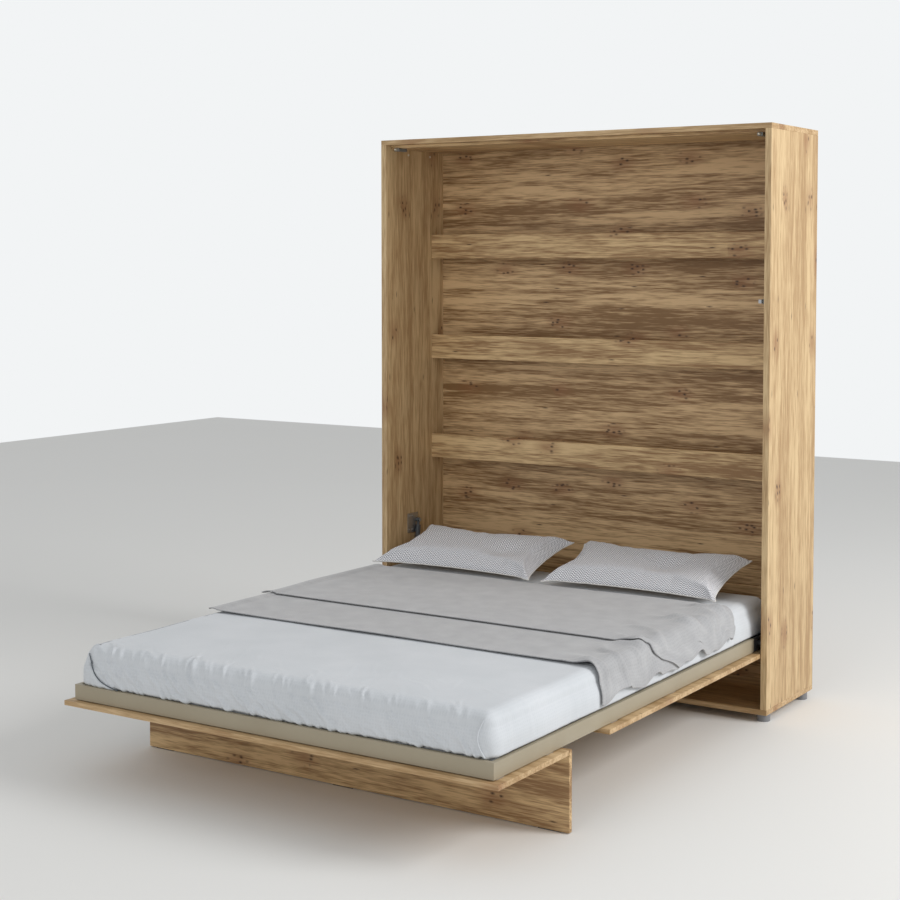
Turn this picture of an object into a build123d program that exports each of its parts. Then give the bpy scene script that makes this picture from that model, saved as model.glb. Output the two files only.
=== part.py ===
from build123d import *
import os
from math import atan2, degrees, hypot

# Murphy wall bed: an open cabinet that holds a double bed hinged near its foot.
# The bed is drawn lying open, with its board leg standing on the floor.
# Millimetres, +Z up. While drawing, y = 0 is the cabinet's front, +Y goes to the
# wall and x = 0 is the middle. The last step moves all of it to the origin of the part.

# ---- Mattress and bed frame ----
MATTRESS_WIDTH = 1600.0
MATTRESS_LENGTH = 2000.0
MATTRESS_THICK = 158.0
MATTRESS_SIDE_GAP = 5.0
MATTRESS_END_GAP = 10.0
SHEET_THICK = 2.0
SHEET_GAP = 0.5
RAIL_WIDE = 15.0
RAIL_HIGH = 50.0
TUBE_WALL = 1.6
SLAT_COUNT = 14
SLAT_WIDE = 54.0
SLAT_THICK = 8.0
SLAT_FIT = 0.3
HOLDER_WALL = 3.5
BAR_HIGH = 9.5
BAR_WIDE = 40.0
BEAM_WIDE = 60.0

# ---- Front boards, which close the cabinet ----
BOARD_THICK = 16.0
BOARD_SIDE_GAP = 2.0
BOARD_FOOT_OVERHANG = 22.0
BOARD_TO_FRAME_GAP = 3.5
STRIP_DEPTH = 404.0
MAIN_BOARD_CLEAR = 8.0
TOP_CLOSING_GAP = 6.0
EDGE_ROUND = 1.0

# ---- Pivot of the bed ----
PIVOT_Y = 46.0
PIVOT_Z = 287.0
PIVOT_R = 7.0
PIVOT_RUN = 0.05
ARM_HEAD_Y = 203.0
ARM_START_Y = 9.0
ARM_TONGUE = 190.0
TONGUE_FIT = 0.1
PIVOT_HEAD = 5.0
PIVOT_HEAD_R = 11.0
PIVOT_PLATE = 6.0
PLATE_REACH_Y = 60.0
PLATE_REACH_Z = 90.0
PLATE_BOLT_IN = 15.0
PLATE_BOLT_LOW = 14.0
PLATE_BOLT_R = 4.0
PLATE_BOLT_HEAD_R = 6.5
PLATE_BOLT_HEAD = 3.5
PLATE_BOLT_LENGTH = 16.0
BOSS_LONG = 15.0
BOSS_R = 16.0
BUSH_R = 10.0
SPACER_R = 11.0

# ---- Board leg ----
LEG_EDGE_ABOVE_AXIS = 6.5
LEG_GAP = 4.0
LEG_MAIN_GAP = 3.5
LEG_PIN_R = 4.0
LEG_PIN_RUN = 0.06
LEG_PIN_LENGTH = 96.0
LEG_LUG_WIDE = 30.0
LEG_LUG_SHARE = 0.35
LEG_GLIDE_THICK = 3.0

# ---- Cabinet ----
SIDE_THICK = 25.0
DECK_THICK = 20.0
CABINET_DEPTH = 468.0
FOOT_HEIGHT = 28.0
FOOT_R = 25.0
FOOT_STEM_R = 5.0
FOOT_SOCKET_R = 10.0
FOOT_IN_X = 26.0
FOOT_IN_Y = 36.0
FOOT_IN_REAR = 56.0
BACK_THICK = 8.0
BACK_INSET = 22.0
BACK_GROOVE = 8.0
BACK_FIT = 0.2
STOP_BOARD_THICK = 12.0
STOP_BOARD_INSET = 39.0
CROSS_RAIL_HIGH = 104.0
CROSS_RAIL_THICK = 16.0
CROSS_RAIL_PITCH = 438.0
CROSS_RAIL_DROP = 372.0
CROSS_RAIL_STAND_OFF = 93.0
LOWER_BOARD_RISE = 145.0
LOWER_BOARD_HIGH = 130.0
LOWER_BOARD_STAND_OFF = 58.0

# ---- Gas springs, one at each side ----
STRUT_TOP_BACK = 171.0
STRUT_TOP_RISE = 307.0
STRUT_LOW_BACK = 144.0
STRUT_LOW_DROP = 3.5
STRUT_STUD_R = 5.0
STRUT_RUN = 0.08
STRUT_CLEAR = 0.5
CYLINDER_R = 11.0
CYLINDER_WALL = 1.5
CYLINDER_START = 22.0
CYLINDER_END = 268.0
CYLINDER_CAP = 18.0
CYLINDER_SEAL = 12.0
NECK_R = 6.0
ROD_R = 5.0
ROD_START = 70.0
PISTON_LONG = 10.0
EYE_R = 9.5
EYE_WIDE = 14.0

# ---- Small fittings ----
PLATE_THICK = 4.0
SCREW_R = 2.0
SCREW_HEAD_R = 4.0
SCREW_HEAD = 2.2
SCREW_LENGTH = 16.0
DAMPER_IN = 3.0
DAMPER_FRONT_Y = 31.0
DAMPER_HIGH = 13.0
DAMPER_HALF = 11.0
DAMPER_LONG = 60.0
DAMPER_BORE = 46.0
DAMPER_TRAVEL = 8.0
PLUNGER_R = 3.5
PLUNGER_RUN = 0.1
LATCH_ABOVE_MAIN = 37.5
LATCH_Y = 30.0
LATCH_R = 4.0
LATCH_TRAVEL = 12.0
LATCH_FLANGE = 3.0
LATCH_BLOCK = 14.0
ANGLE_LEG = 36.0
ANGLE_THICK = 2.5
ANGLE_HIGH = 60.0
CLIP = 40.0
CLIP_END_IN = 60.0
CLIP_HEAD_IN = 15.0
JOINT_SCREW_R = 3.2
JOINT_SCREW_HEAD_R = 5.0
JOINT_SCREW_HEAD = 4.0
JOINT_SCREW_LENGTH = 60.0
WALL_BRACKET_SHARE = 0.375
WALL_BRACKET_FOOT = 40.0
WALL_HOLE_RISE = 20.0
WALL_BRACKET_WIDE = 40.0
WALL_BRACKET_HIGH = 34.0
WALL_BRACKET_THICK = 2.5
WALL_HOLE_R = 4.25

# ---- Throw and pillows, as shares of the mattress or distances from its head ----
THROW_FOOT_SHARE = 0.689
THROW_HEAD_SHARE = 0.164
THROW_THICK = 10.0
PILLOW_FRONT_IN = 283.0
PILLOW_BACK_OUT = 44.0
PILLOW_RISE = 102.5
PILLOW_LEFT_END = -0.04125
PILLOW_RIGHT_START = -0.02625
PILLOW_RIGHT_END = 0.46125

# ---- Worked out across the bed ----
RAIL_IN = MATTRESS_WIDTH / 2 + MATTRESS_SIDE_GAP
RAIL_OUT = RAIL_IN + RAIL_WIDE
STRUT_SPACE = 2 * (CYLINDER_R + PLATE_THICK + STRUT_CLEAR)
SIDE_IN = RAIL_OUT + STRUT_SPACE
SIDE_OUT = SIDE_IN + SIDE_THICK
BOARD_OUT = SIDE_IN - BOARD_SIDE_GAP
STRUT_X = (RAIL_OUT + SIDE_IN) / 2
DAMPER_X = RAIL_OUT - DAMPER_IN
LEG_LUG_X = MATTRESS_WIDTH * LEG_LUG_SHARE
WALL_BRACKET_X = MATTRESS_WIDTH * WALL_BRACKET_SHARE

# ---- Worked out along the bed ----
HEAD_RAIL_Y = ARM_HEAD_Y - RAIL_WIDE
MATTRESS_HEAD_Y = HEAD_RAIL_Y - MATTRESS_END_GAP
MATTRESS_FOOT_Y = MATTRESS_HEAD_Y - MATTRESS_LENGTH
FOOT_RAIL_Y = MATTRESS_FOOT_Y - MATTRESS_END_GAP
FRAME_FOOT_Y = FOOT_RAIL_Y - RAIL_WIDE
BOARD_FOOT_Y = FRAME_FOOT_Y - BOARD_FOOT_OVERHANG

# ---- Worked out upwards: closed, the boards stand flush with the cabinet's front ----
BOARD_LOW = PIVOT_Z - PIVOT_Y
BOARD_TOP = BOARD_LOW + BOARD_THICK
FRAME_LOW = BOARD_TOP + BOARD_TO_FRAME_GAP
FRAME_TOP = FRAME_LOW + RAIL_HIGH
BAR_TOP = FRAME_LOW + BAR_HIGH
SLAT_LOW = BAR_TOP + HOLDER_WALL
SLAT_TOP = SLAT_LOW + SLAT_THICK
MATTRESS_LOW = SLAT_TOP + HOLDER_WALL
MATTRESS_TOP = MATTRESS_LOW + MATTRESS_THICK
SHEET_TOP = MATTRESS_TOP + SHEET_GAP + SHEET_THICK
DECK_LOW_TOP = FOOT_HEIGHT + DECK_THICK
DECK_HIGH_UNDER = PIVOT_Z + PIVOT_Y - BOARD_FOOT_Y + TOP_CLOSING_GAP
CABINET_HEIGHT = DECK_HIGH_UNDER + DECK_THICK

# ---- Worked out for the leg ----
LEG_Y = BOARD_FOOT_Y + STRIP_DEPTH + LEG_GAP + BOARD_THICK / 2
LEG_Z = BOARD_LOW + BOARD_THICK / 2
MAIN_BOARD_FOOT_Y = LEG_Y + LEG_Z + LEG_MAIN_GAP
MAIN_BOARD_HEAD_Y = PIVOT_Y + PIVOT_Z - DECK_LOW_TOP - MAIN_BOARD_CLEAR

# ---- Worked out for the cabinet ----
BACK_Y = CABINET_DEPTH - BACK_INSET - BACK_THICK
CROSS_RAIL_Y = BACK_Y - CROSS_RAIL_STAND_OFF
CROSS_RAIL_TOPS = [DECK_HIGH_UNDER - CROSS_RAIL_DROP - CROSS_RAIL_PITCH * i for i in range(3)]
BACK_JOINTS = [top - CROSS_RAIL_HIGH / 2 for top in CROSS_RAIL_TOPS]
LOWER_BOARD_Y = BACK_Y - LOWER_BOARD_STAND_OFF
LOWER_BOARD_TOP = MATTRESS_LOW + LOWER_BOARD_RISE
LATCH_Z = PIVOT_Y + PIVOT_Z - MAIN_BOARD_FOOT_Y + LATCH_ABOVE_MAIN
DAMPER_ROOF = DECK_HIGH_UNDER - STOP_BOARD_THICK
DAMPER_LOW = DAMPER_ROOF - DAMPER_HIGH
DAMPER_Z = DAMPER_LOW + DAMPER_HIGH / 2

# ---- Worked out for the gas springs, with the bed open ----
STRUT_TOP_Y = PIVOT_Y + STRUT_TOP_BACK
STRUT_TOP_Z = PIVOT_Z + STRUT_TOP_RISE
STRUT_LOW_Y = PIVOT_Y + STRUT_LOW_BACK
STRUT_LOW_Z = PIVOT_Z - STRUT_LOW_DROP
STRUT_OPEN = hypot(STRUT_LOW_Y - STRUT_TOP_Y, STRUT_LOW_Z - STRUT_TOP_Z)

# ---- Worked out for the throw and pillows ----
THROW_FOOT_Y = MATTRESS_HEAD_Y - MATTRESS_LENGTH * THROW_FOOT_SHARE
THROW_HEAD_Y = MATTRESS_HEAD_Y - MATTRESS_LENGTH * THROW_HEAD_SHARE
PILLOW_FRONT_Y = MATTRESS_HEAD_Y - PILLOW_FRONT_IN
PILLOW_BACK_Y = MATTRESS_HEAD_Y + PILLOW_BACK_OUT
PILLOW_TOP = SHEET_TOP + PILLOW_RISE
PILLOW_SPANS = [
    (-RAIL_OUT + 2, MATTRESS_WIDTH * PILLOW_LEFT_END),
    (MATTRESS_WIDTH * PILLOW_RIGHT_START, MATTRESS_WIDTH * PILLOW_RIGHT_END),
]

ORIGIN_SHIFT = -(BOARD_FOOT_Y + CABINET_DEPTH) / 2


def block(x, y, z):
    """A box between its low and high values along each axis."""
    spans = (x, y, z)
    centre = [(low + high) / 2 for low, high in spans]
    return Pos(*centre) * Box(*[high - low for low, high in spans])


def bar_x(x, y, z, r):
    """A round bar along X."""
    return Pos((x[0] + x[1]) / 2, y, z) * Rot(0, 90, 0) * Cylinder(r, x[1] - x[0])


def bar_y(x, y, z, r):
    """A round bar along Y."""
    return Pos(x, (y[0] + y[1]) / 2, z) * Rot(90, 0, 0) * Cylinder(r, y[1] - y[0])


def bar_z(x, y, z, r):
    """A round bar along Z."""
    return Pos(x, y, (z[0] + z[1]) / 2) * Cylinder(r, z[1] - z[0])


def board(x, y, z):
    """A board with its edge band eased all round."""
    plain = block(x, y, z)
    return fillet(plain.edges(), EDGE_ROUND)


def left(shape):
    """The left-hand copy of a right-hand piece."""
    return mirror(shape, Plane.YZ)


def pair(shape):
    """A right-hand piece with its left-hand copy."""
    return [shape, left(shape)]


def cut(shape, tools):
    """A shape with every tool taken out of it."""
    for tool in tools:
        shape = shape - tool
    return shape


def screw_x(x_face, y, z, way):
    """A pan-head screw driven along X into a face; way is +1 or -1."""
    shank = sorted((x_face, x_face + way * SCREW_LENGTH))
    head = sorted((x_face, x_face - way * SCREW_HEAD))
    return bar_x(shank, y, z, SCREW_R) + bar_x(head, y, z, SCREW_HEAD_R)


def screw_y(x, y_face, z, way):
    """A pan-head screw driven along Y into a face."""
    shank = sorted((y_face, y_face + way * SCREW_LENGTH))
    head = sorted((y_face, y_face - way * SCREW_HEAD))
    return bar_y(x, shank, z, SCREW_R) + bar_y(x, head, z, SCREW_HEAD_R)


def screw_z(x, y, z_face, way):
    """A pan-head screw driven along Z into a face."""
    shank = sorted((z_face, z_face + way * SCREW_LENGTH))
    head = sorted((z_face, z_face - way * SCREW_HEAD))
    return bar_z(x, y, shank, SCREW_R) + bar_z(x, y, head, SCREW_HEAD_R)


# ---------------------------------------------------------------- cabinet fixings


def panel_joint_screws():
    """Long screws through the top and bottom decks into the ends of the side panels."""
    screws = []
    x = (SIDE_IN + SIDE_OUT) / 2
    for part in (0.25, 0.5, 0.75):
        y = CABINET_DEPTH * part
        for face, way in ((CABINET_HEIGHT, -1), (FOOT_HEIGHT, 1)):
            shank = sorted((face, face + way * JOINT_SCREW_LENGTH))
            head = sorted((face, face + way * JOINT_SCREW_HEAD))
            screw = bar_z(x, y, shank, JOINT_SCREW_R) + bar_z(x, y, head, JOINT_SCREW_HEAD_R)
            screws += pair(screw)
    return screws


def foot_places():
    """Name, x and y of the four levelling feet."""
    x = SIDE_OUT - FOOT_IN_X
    return [
        ("foot_front_left", -x, FOOT_IN_Y),
        ("foot_front_right", x, FOOT_IN_Y),
        ("foot_rear_left", -x, CABINET_DEPTH - FOOT_IN_REAR),
        ("foot_rear_right", x, CABINET_DEPTH - FOOT_IN_REAR),
    ]


def foot_sockets():
    """Threaded sleeves set in the bottom deck, which the feet screw into."""
    sockets = []
    for _, x, y in foot_places():
        sleeve = bar_z(x, y, (FOOT_HEIGHT, DECK_LOW_TOP - 0.5), FOOT_SOCKET_R)
        bore = bar_z(x, y, (FOOT_HEIGHT - 1, DECK_LOW_TOP), FOOT_STEM_R + PIVOT_RUN)
        sockets.append(sleeve - bore)
    return sockets


def levelling_foot(x, y):
    """A ribbed plastic foot on a threaded stem."""
    pad = bar_z(x, y, (0, FOOT_HEIGHT - 0.5), FOOT_R)
    pad = fillet(pad.edges(), 1.5)
    stem = bar_z(x, y, (FOOT_HEIGHT - 1, DECK_LOW_TOP - 1), FOOT_STEM_R)
    return pad + stem


# ---------------------------------------------------------------- cabinet boards


def back_groove_cuts():
    """The slot that the back panels sit in, run round all four outer panels."""
    reach = SIDE_IN + BACK_GROOVE
    slot = (BACK_Y - BACK_FIT / 2, BACK_Y + BACK_THICK + BACK_FIT / 2)
    upright = (DECK_LOW_TOP - BACK_GROOVE, DECK_HIGH_UNDER + BACK_GROOVE)
    return block((-reach, reach), slot, upright)


def side_panel_right():
    """Side panel between the two decks, drilled for its pivot, strut, latch and caps."""
    panel = board((SIDE_IN, SIDE_OUT), (0, CABINET_DEPTH), (DECK_LOW_TOP, DECK_HIGH_UNDER))
    holes = [back_groove_cuts()]
    holes += panel_joint_screws()
    holes += side_screws()
    holes.append(bar_x((SIDE_IN - 1, SIDE_IN + 15), LATCH_Y, LATCH_Z, LATCH_R + PIVOT_RUN))
    return cut(panel, holes)


def side_panel_left():
    """Side panel of the other hand, with no latch."""
    panel = board((-SIDE_OUT, -SIDE_IN), (0, CABINET_DEPTH), (DECK_LOW_TOP, DECK_HIGH_UNDER))
    holes = [back_groove_cuts()]
    holes += panel_joint_screws()
    holes += [left(screw) for screw in side_screws()]
    return cut(panel, holes)


def top_panel():
    """Top deck, which covers the upper ends of the sides."""
    panel = board((-SIDE_OUT, SIDE_OUT), (0, CABINET_DEPTH), (DECK_HIGH_UNDER, CABINET_HEIGHT))
    return cut(panel, [back_groove_cuts()] + panel_joint_screws() + wall_bracket_screws())


def bottom_panel():
    """Bottom deck, under the ends of the sides, with the four foot sockets let in."""
    panel = board((-SIDE_OUT, SIDE_OUT), (0, CABINET_DEPTH), (FOOT_HEIGHT, DECK_LOW_TOP))
    wells = [
        bar_z(x, y, (FOOT_HEIGHT - 1, DECK_LOW_TOP - 0.5), FOOT_SOCKET_R)
        for _, x, y in foot_places()
    ]
    return cut(panel, [back_groove_cuts()] + panel_joint_screws() + wells)


def top_stop_board():
    """Doubling board under the top deck, set back from the front edge."""
    depth = (STOP_BOARD_INSET, BACK_Y - 1)
    return board((-SIDE_IN, SIDE_IN), depth, (DECK_HIGH_UNDER - STOP_BOARD_THICK, DECK_HIGH_UNDER))


def back_panel(low, high):
    """One thin back panel between two heights, with its side edges in the grooves."""
    reach = SIDE_IN + BACK_GROOVE - BACK_FIT
    return block((-reach, reach), (BACK_Y, BACK_Y + BACK_THICK), (low, high))


def back_panels():
    """The four back panels, from the top down."""
    edge = 1.0
    highest = DECK_HIGH_UNDER + BACK_GROOVE - BACK_FIT
    lowest = DECK_LOW_TOP - BACK_GROOVE + BACK_FIT
    highs = [highest] + [z - edge for z in BACK_JOINTS]
    lows = [z + edge for z in BACK_JOINTS] + [lowest]
    names = ("back_panel_top", "back_panel_upper", "back_panel_middle", "back_panel_bottom")
    return {name: back_panel(low, high) for name, low, high in zip(names, lows, highs)}


def back_joint_profiles():
    """Plastic H-strips that join one back panel to the next, hidden by the cross rails."""
    lip = 1.2
    half = 10.0
    reach = SIDE_IN - 0.5
    strips = []
    for z in BACK_JOINTS:
        outer = block((-reach, reach), (BACK_Y - lip, BACK_Y + BACK_THICK + lip), (z - half, z + half))
        for low, high in ((z - half - 1, z - 1), (z + 1, z + half + 1)):
            outer -= block((-reach - 1, reach + 1), (BACK_Y, BACK_Y + BACK_THICK), (low, high))
        strips.append(outer)
    return strips


def cross_rail(top):
    """A board across the cabinet in front of the back, which squares it up."""
    depth = (CROSS_RAIL_Y, CROSS_RAIL_Y + CROSS_RAIL_THICK)
    rail = board((-SIDE_IN, SIDE_IN), depth, (top - CROSS_RAIL_HIGH, top))
    return cut(rail, rail_angle_screws())


def lower_back_board():
    """Low board behind the head of the mattress."""
    depth = (LOWER_BOARD_Y, LOWER_BOARD_Y + CROSS_RAIL_THICK)
    rail = board((-SIDE_IN, SIDE_IN), depth, (LOWER_BOARD_TOP - LOWER_BOARD_HIGH, LOWER_BOARD_TOP))
    return cut(rail, rail_angle_screws())


# ---------------------------------------------------------------- cabinet fittings


def angle_places():
    """Back face and middle height of each board that is held by angles."""
    places = [(CROSS_RAIL_Y, top - CROSS_RAIL_HIGH / 2) for top in CROSS_RAIL_TOPS]
    places.append((LOWER_BOARD_Y, LOWER_BOARD_TOP - LOWER_BOARD_HIGH / 2))
    return [(y + CROSS_RAIL_THICK, z) for y, z in places]


def rail_angles():
    """Steel angles behind the cross rails, screwed to the rail and to the side panel."""
    angles = []
    for y, z in angle_places():
        span = (z - ANGLE_HIGH / 2, z + ANGLE_HIGH / 2)
        on_rail = block((SIDE_IN - ANGLE_LEG, SIDE_IN), (y, y + ANGLE_THICK), span)
        on_side = block((SIDE_IN - ANGLE_THICK, SIDE_IN), (y, y + ANGLE_LEG), span)
        angles += pair(cut(on_rail + on_side, rail_angle_screws() + angle_side_screws()))
    return angles


def rail_angle_screws():
    """Screws through the angles into the cross rails."""
    screws = []
    for y, z in angle_places():
        for rise in (-ANGLE_HIGH / 4, ANGLE_HIGH / 4):
            screw = screw_y(SIDE_IN - ANGLE_LEG * 0.6, y + ANGLE_THICK, z + rise, -1)
            screws += pair(screw)
    return screws


def angle_side_screws():
    """Screws through the angles into the right side panel."""
    return [
        screw_x(SIDE_IN - ANGLE_THICK, y + ANGLE_LEG * 0.6, z + rise, 1)
        for y, z in angle_places()
        for rise in (-ANGLE_HIGH / 4, ANGLE_HIGH / 4)
    ]


def pivot_plate_right():
    """Steel plate with a boss for the bed's pivot, bolted to the side panel.

    It stays above and behind the pivot, where the turning boards never pass."""
    corner = PIVOT_Y - BOARD_SIDE_GAP - BOARD_THICK
    low = (PIVOT_Y - corner, PIVOT_Z - corner)
    high = (PIVOT_Y + PLATE_REACH_Y, PIVOT_Z + PLATE_REACH_Z)
    plate = block((SIDE_IN - PIVOT_PLATE, SIDE_IN), (low[0], high[0]), (low[1], high[1]))
    lower_front = plate.edges().filter_by(Axis.X).sort_by(lambda e: e.center().Y + e.center().Z)[0]
    plate = fillet(lower_front, corner - 0.5)
    boss = bar_x((SIDE_IN - BOSS_LONG, SIDE_IN), PIVOT_Y, PIVOT_Z, BOSS_R)
    bore = bar_x((SIDE_IN - BOSS_LONG - 1, SIDE_IN + 1), PIVOT_Y, PIVOT_Z, BUSH_R)
    return cut(plate + boss, [bore] + pivot_plate_bolts())


def pivot_plate_bolts():
    """Three bolts that hold the pivot plate to the right side panel."""
    rear, front = PIVOT_Y + PLATE_REACH_Y - PLATE_BOLT_IN, PIVOT_Y - PLATE_BOLT_LOW
    high, low = PIVOT_Z + PLATE_REACH_Z - PLATE_BOLT_IN, PIVOT_Z - PLATE_BOLT_LOW
    places = [(rear, low), (rear, high), (front, high)]
    face = SIDE_IN - PIVOT_PLATE
    bolts = []
    for y, z in places:
        shank = bar_x((face, face + PLATE_BOLT_LENGTH), y, z, PLATE_BOLT_R)
        bolts.append(shank + bar_x((face - PLATE_BOLT_HEAD, face), y, z, PLATE_BOLT_HEAD_R))
    return bolts


def pivot_bush_right():
    """Plastic bush pressed in the boss, which the pivot bolt turns in."""
    bush = bar_x((SIDE_IN - BOSS_LONG, SIDE_IN), PIVOT_Y, PIVOT_Z, BUSH_R)
    return bush - bar_x((SIDE_IN - BOSS_LONG - 1, SIDE_IN + 1), PIVOT_Y, PIVOT_Z, PIVOT_R + PIVOT_RUN)


def strut_bracket_right():
    """Steel plate with the stud that the gas spring hangs from."""
    depth = (STRUT_TOP_Y - 62, STRUT_TOP_Y + 13)
    height = (STRUT_TOP_Z - 52, STRUT_TOP_Z + 32)
    plate = block((SIDE_IN - PLATE_THICK, SIDE_IN), depth, height)
    plate = fillet(plate.edges().filter_by(Axis.X), 6)
    stud = bar_x((STRUT_X - EYE_WIDE / 2 - 4, SIDE_IN - 1), STRUT_TOP_Y, STRUT_TOP_Z, STRUT_STUD_R)
    cap = (STRUT_X - EYE_WIDE / 2 - 4, STRUT_X - EYE_WIDE / 2 - 1.5)
    collar = bar_x(cap, STRUT_TOP_Y, STRUT_TOP_Z, STRUT_STUD_R + 3)
    return cut(plate + stud + collar, strut_bracket_screws())


def strut_bracket_screws():
    """Screws through the strut plate into the right side panel."""
    return [
        screw_x(SIDE_IN - PLATE_THICK, STRUT_TOP_Y + dy, STRUT_TOP_Z + dz, 1)
        for dy in (-50, -28)
        for dz in (-40, 20)
    ]


def latch_screws():
    """Two screws, one above the other, that hold the latch housing."""
    face = SIDE_IN - LATCH_FLANGE
    return [screw_x(face, LATCH_Y + 16, LATCH_Z + dz, 1) for dz in (-8, 8)]


def side_screws():
    """Every small screw that bites into the right side panel."""
    return angle_side_screws() + strut_bracket_screws() + pivot_plate_bolts() + latch_screws()


def bracket_screws():
    """All the small pan-head screws of the cabinet's fittings."""
    screws = rail_angle_screws() + wall_bracket_screws() + latch_screws()
    for screw in angle_side_screws() + strut_bracket_screws():
        screws += pair(screw)
    return screws


def latch_housing():
    """Housing of the safety bolt, on the inner face of the right side panel."""
    depth, height = (LATCH_Y - 8, LATCH_Y + 8), (LATCH_Z - 10, LATCH_Z + 10)
    body = block((SIDE_IN - LATCH_BLOCK, SIDE_IN), depth, height)
    body = fillet(body.edges().filter_by(Axis.X), 2)
    ear = (LATCH_Z - 14, LATCH_Z + 14)
    flange = block((SIDE_IN - LATCH_FLANGE, SIDE_IN), (LATCH_Y, LATCH_Y + 22), ear)
    bore = bar_x((SIDE_IN - LATCH_BLOCK - 1, SIDE_IN + 1), LATCH_Y, LATCH_Z, LATCH_R + PIVOT_RUN)
    return cut(body + flange, [bore] + latch_screws())


def latch_bolt():
    """Safety bolt: a rod with a flat blade that slides between boards and frame."""
    blade_y = (BOARD_THICK + 0.7, BOARD_THICK + 2.9)
    high = (LATCH_Z - 7, LATCH_Z + 7)
    web_x = (RAIL_OUT + LATCH_TRAVEL + 0.5, RAIL_OUT + LATCH_TRAVEL + 2.7)
    blade = block((RAIL_OUT + 3, web_x[1]), blade_y, high)
    web = block(web_x, (blade_y[0], LATCH_Y + 5), high)
    rod = bar_x((web_x[1] - 0.5, SIDE_IN + 13), LATCH_Y, LATCH_Z, LATCH_R)
    return blade + web + rod


def wall_brackets():
    """Steel angles on top of the cabinet, which fix it to the wall."""
    x = (WALL_BRACKET_X - WALL_BRACKET_WIDE / 2, WALL_BRACKET_X + WALL_BRACKET_WIDE / 2)
    high = CABINET_HEIGHT + WALL_BRACKET_HIGH
    base = (CABINET_HEIGHT, CABINET_HEIGHT + WALL_BRACKET_THICK)
    flat = block(x, (CABINET_DEPTH - WALL_BRACKET_FOOT, CABINET_DEPTH), base)
    upright = block(x, (CABINET_DEPTH - WALL_BRACKET_THICK, CABINET_DEPTH), (CABINET_HEIGHT, high))
    through = (CABINET_DEPTH - 10, CABINET_DEPTH + 1)
    hole = bar_y(WALL_BRACKET_X, through, CABINET_HEIGHT + WALL_HOLE_RISE, WALL_HOLE_R)
    bracket = cut(flat + upright, [hole] + wall_bracket_screws())
    return pair(bracket)


def wall_bracket_screws():
    """Two screws for each wall bracket, down into the top deck."""
    screws = []
    for dx in (-12, 12):
        face = CABINET_HEIGHT + WALL_BRACKET_THICK
        screws += pair(screw_z(WALL_BRACKET_X + dx, CABINET_DEPTH - 33, face, -1))
    return screws


def cover_caps():
    """Round caps over the fixing holes near the top of each side panel."""
    caps = []
    for part in (0.355, 0.71):
        cap = bar_x((SIDE_IN - 2, SIDE_IN), CABINET_DEPTH * part, DECK_HIGH_UNDER - 33, 5)
        rim = cap.faces().sort_by(Axis.X)[0].edges()
        caps += pair(fillet(rim, 1))
    return caps


# ---------------------------------------------------------------- dampers at the top


def damper_housing_right():
    """Plastic damper body, screwed under the stop board with its nose forward."""
    depth = (DAMPER_FRONT_Y, DAMPER_FRONT_Y + DAMPER_LONG)
    width = (DAMPER_X - DAMPER_HALF, DAMPER_X + DAMPER_HALF)
    body = block(width, depth, (DAMPER_LOW, DAMPER_ROOF - 0.2))
    body = fillet(body.edges().filter_by(Axis.Y), 3)
    mouth = bar_y(DAMPER_X, (DAMPER_FRONT_Y - 1, DAMPER_FRONT_Y + DAMPER_BORE), DAMPER_Z, PLUNGER_R + 1.2)
    guide = (DAMPER_FRONT_Y + 6, DAMPER_FRONT_Y + 16)
    collar = bar_y(DAMPER_X, guide, DAMPER_Z, PLUNGER_R + 1.2)
    collar -= bar_y(DAMPER_X, (guide[0] - 1, guide[1] + 1), DAMPER_Z, PLUNGER_R + PLUNGER_RUN)
    return (body - mouth) + collar


def damper_plunger_right():
    """Sprung plunger that the closed boards come to rest against."""
    tip = PIVOT_Y - PIVOT_Z + BOARD_TOP + 0.5
    tail = DAMPER_FRONT_Y + DAMPER_BORE - DAMPER_TRAVEL - 1
    plunger = bar_y(DAMPER_X, (tip, tail), DAMPER_Z, PLUNGER_R)
    return fillet(plunger.edges().sort_by(Axis.Y)[0], 1.5)


# ---------------------------------------------------------------- bed frame


def frame_rail_right():
    """Side rail: rectangular tube with a mitre at the foot."""
    outline = Polyline(
        (RAIL_IN, FOOT_RAIL_Y),
        (RAIL_OUT, FRAME_FOOT_Y),
        (RAIL_OUT, ARM_START_Y),
        (RAIL_IN, ARM_START_Y),
        close=True,
    )
    rail = Pos(0, 0, FRAME_LOW) * extrude(make_face(outline), RAIL_HIGH, dir=(0, 0, 1))
    core = block(
        (RAIL_IN + TUBE_WALL, RAIL_OUT - TUBE_WALL),
        (FRAME_FOOT_Y - 1, ARM_START_Y + 1),
        (FRAME_LOW + TUBE_WALL, FRAME_TOP - TUBE_WALL),
    )
    return rail - core


def frame_rail_foot():
    """Foot rail: the tube between the two mitres."""
    outline = Polyline(
        (-RAIL_IN, FOOT_RAIL_Y),
        (RAIL_IN, FOOT_RAIL_Y),
        (RAIL_OUT, FRAME_FOOT_Y),
        (-RAIL_OUT, FRAME_FOOT_Y),
        close=True,
    )
    rail = Pos(0, 0, FRAME_LOW) * extrude(make_face(outline), RAIL_HIGH, dir=(0, 0, 1))
    core = block(
        (-RAIL_OUT - 1, RAIL_OUT + 1),
        (FRAME_FOOT_Y + TUBE_WALL, FOOT_RAIL_Y - TUBE_WALL),
        (FRAME_LOW + TUBE_WALL, FRAME_TOP - TUBE_WALL),
    )
    return rail - core


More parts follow.
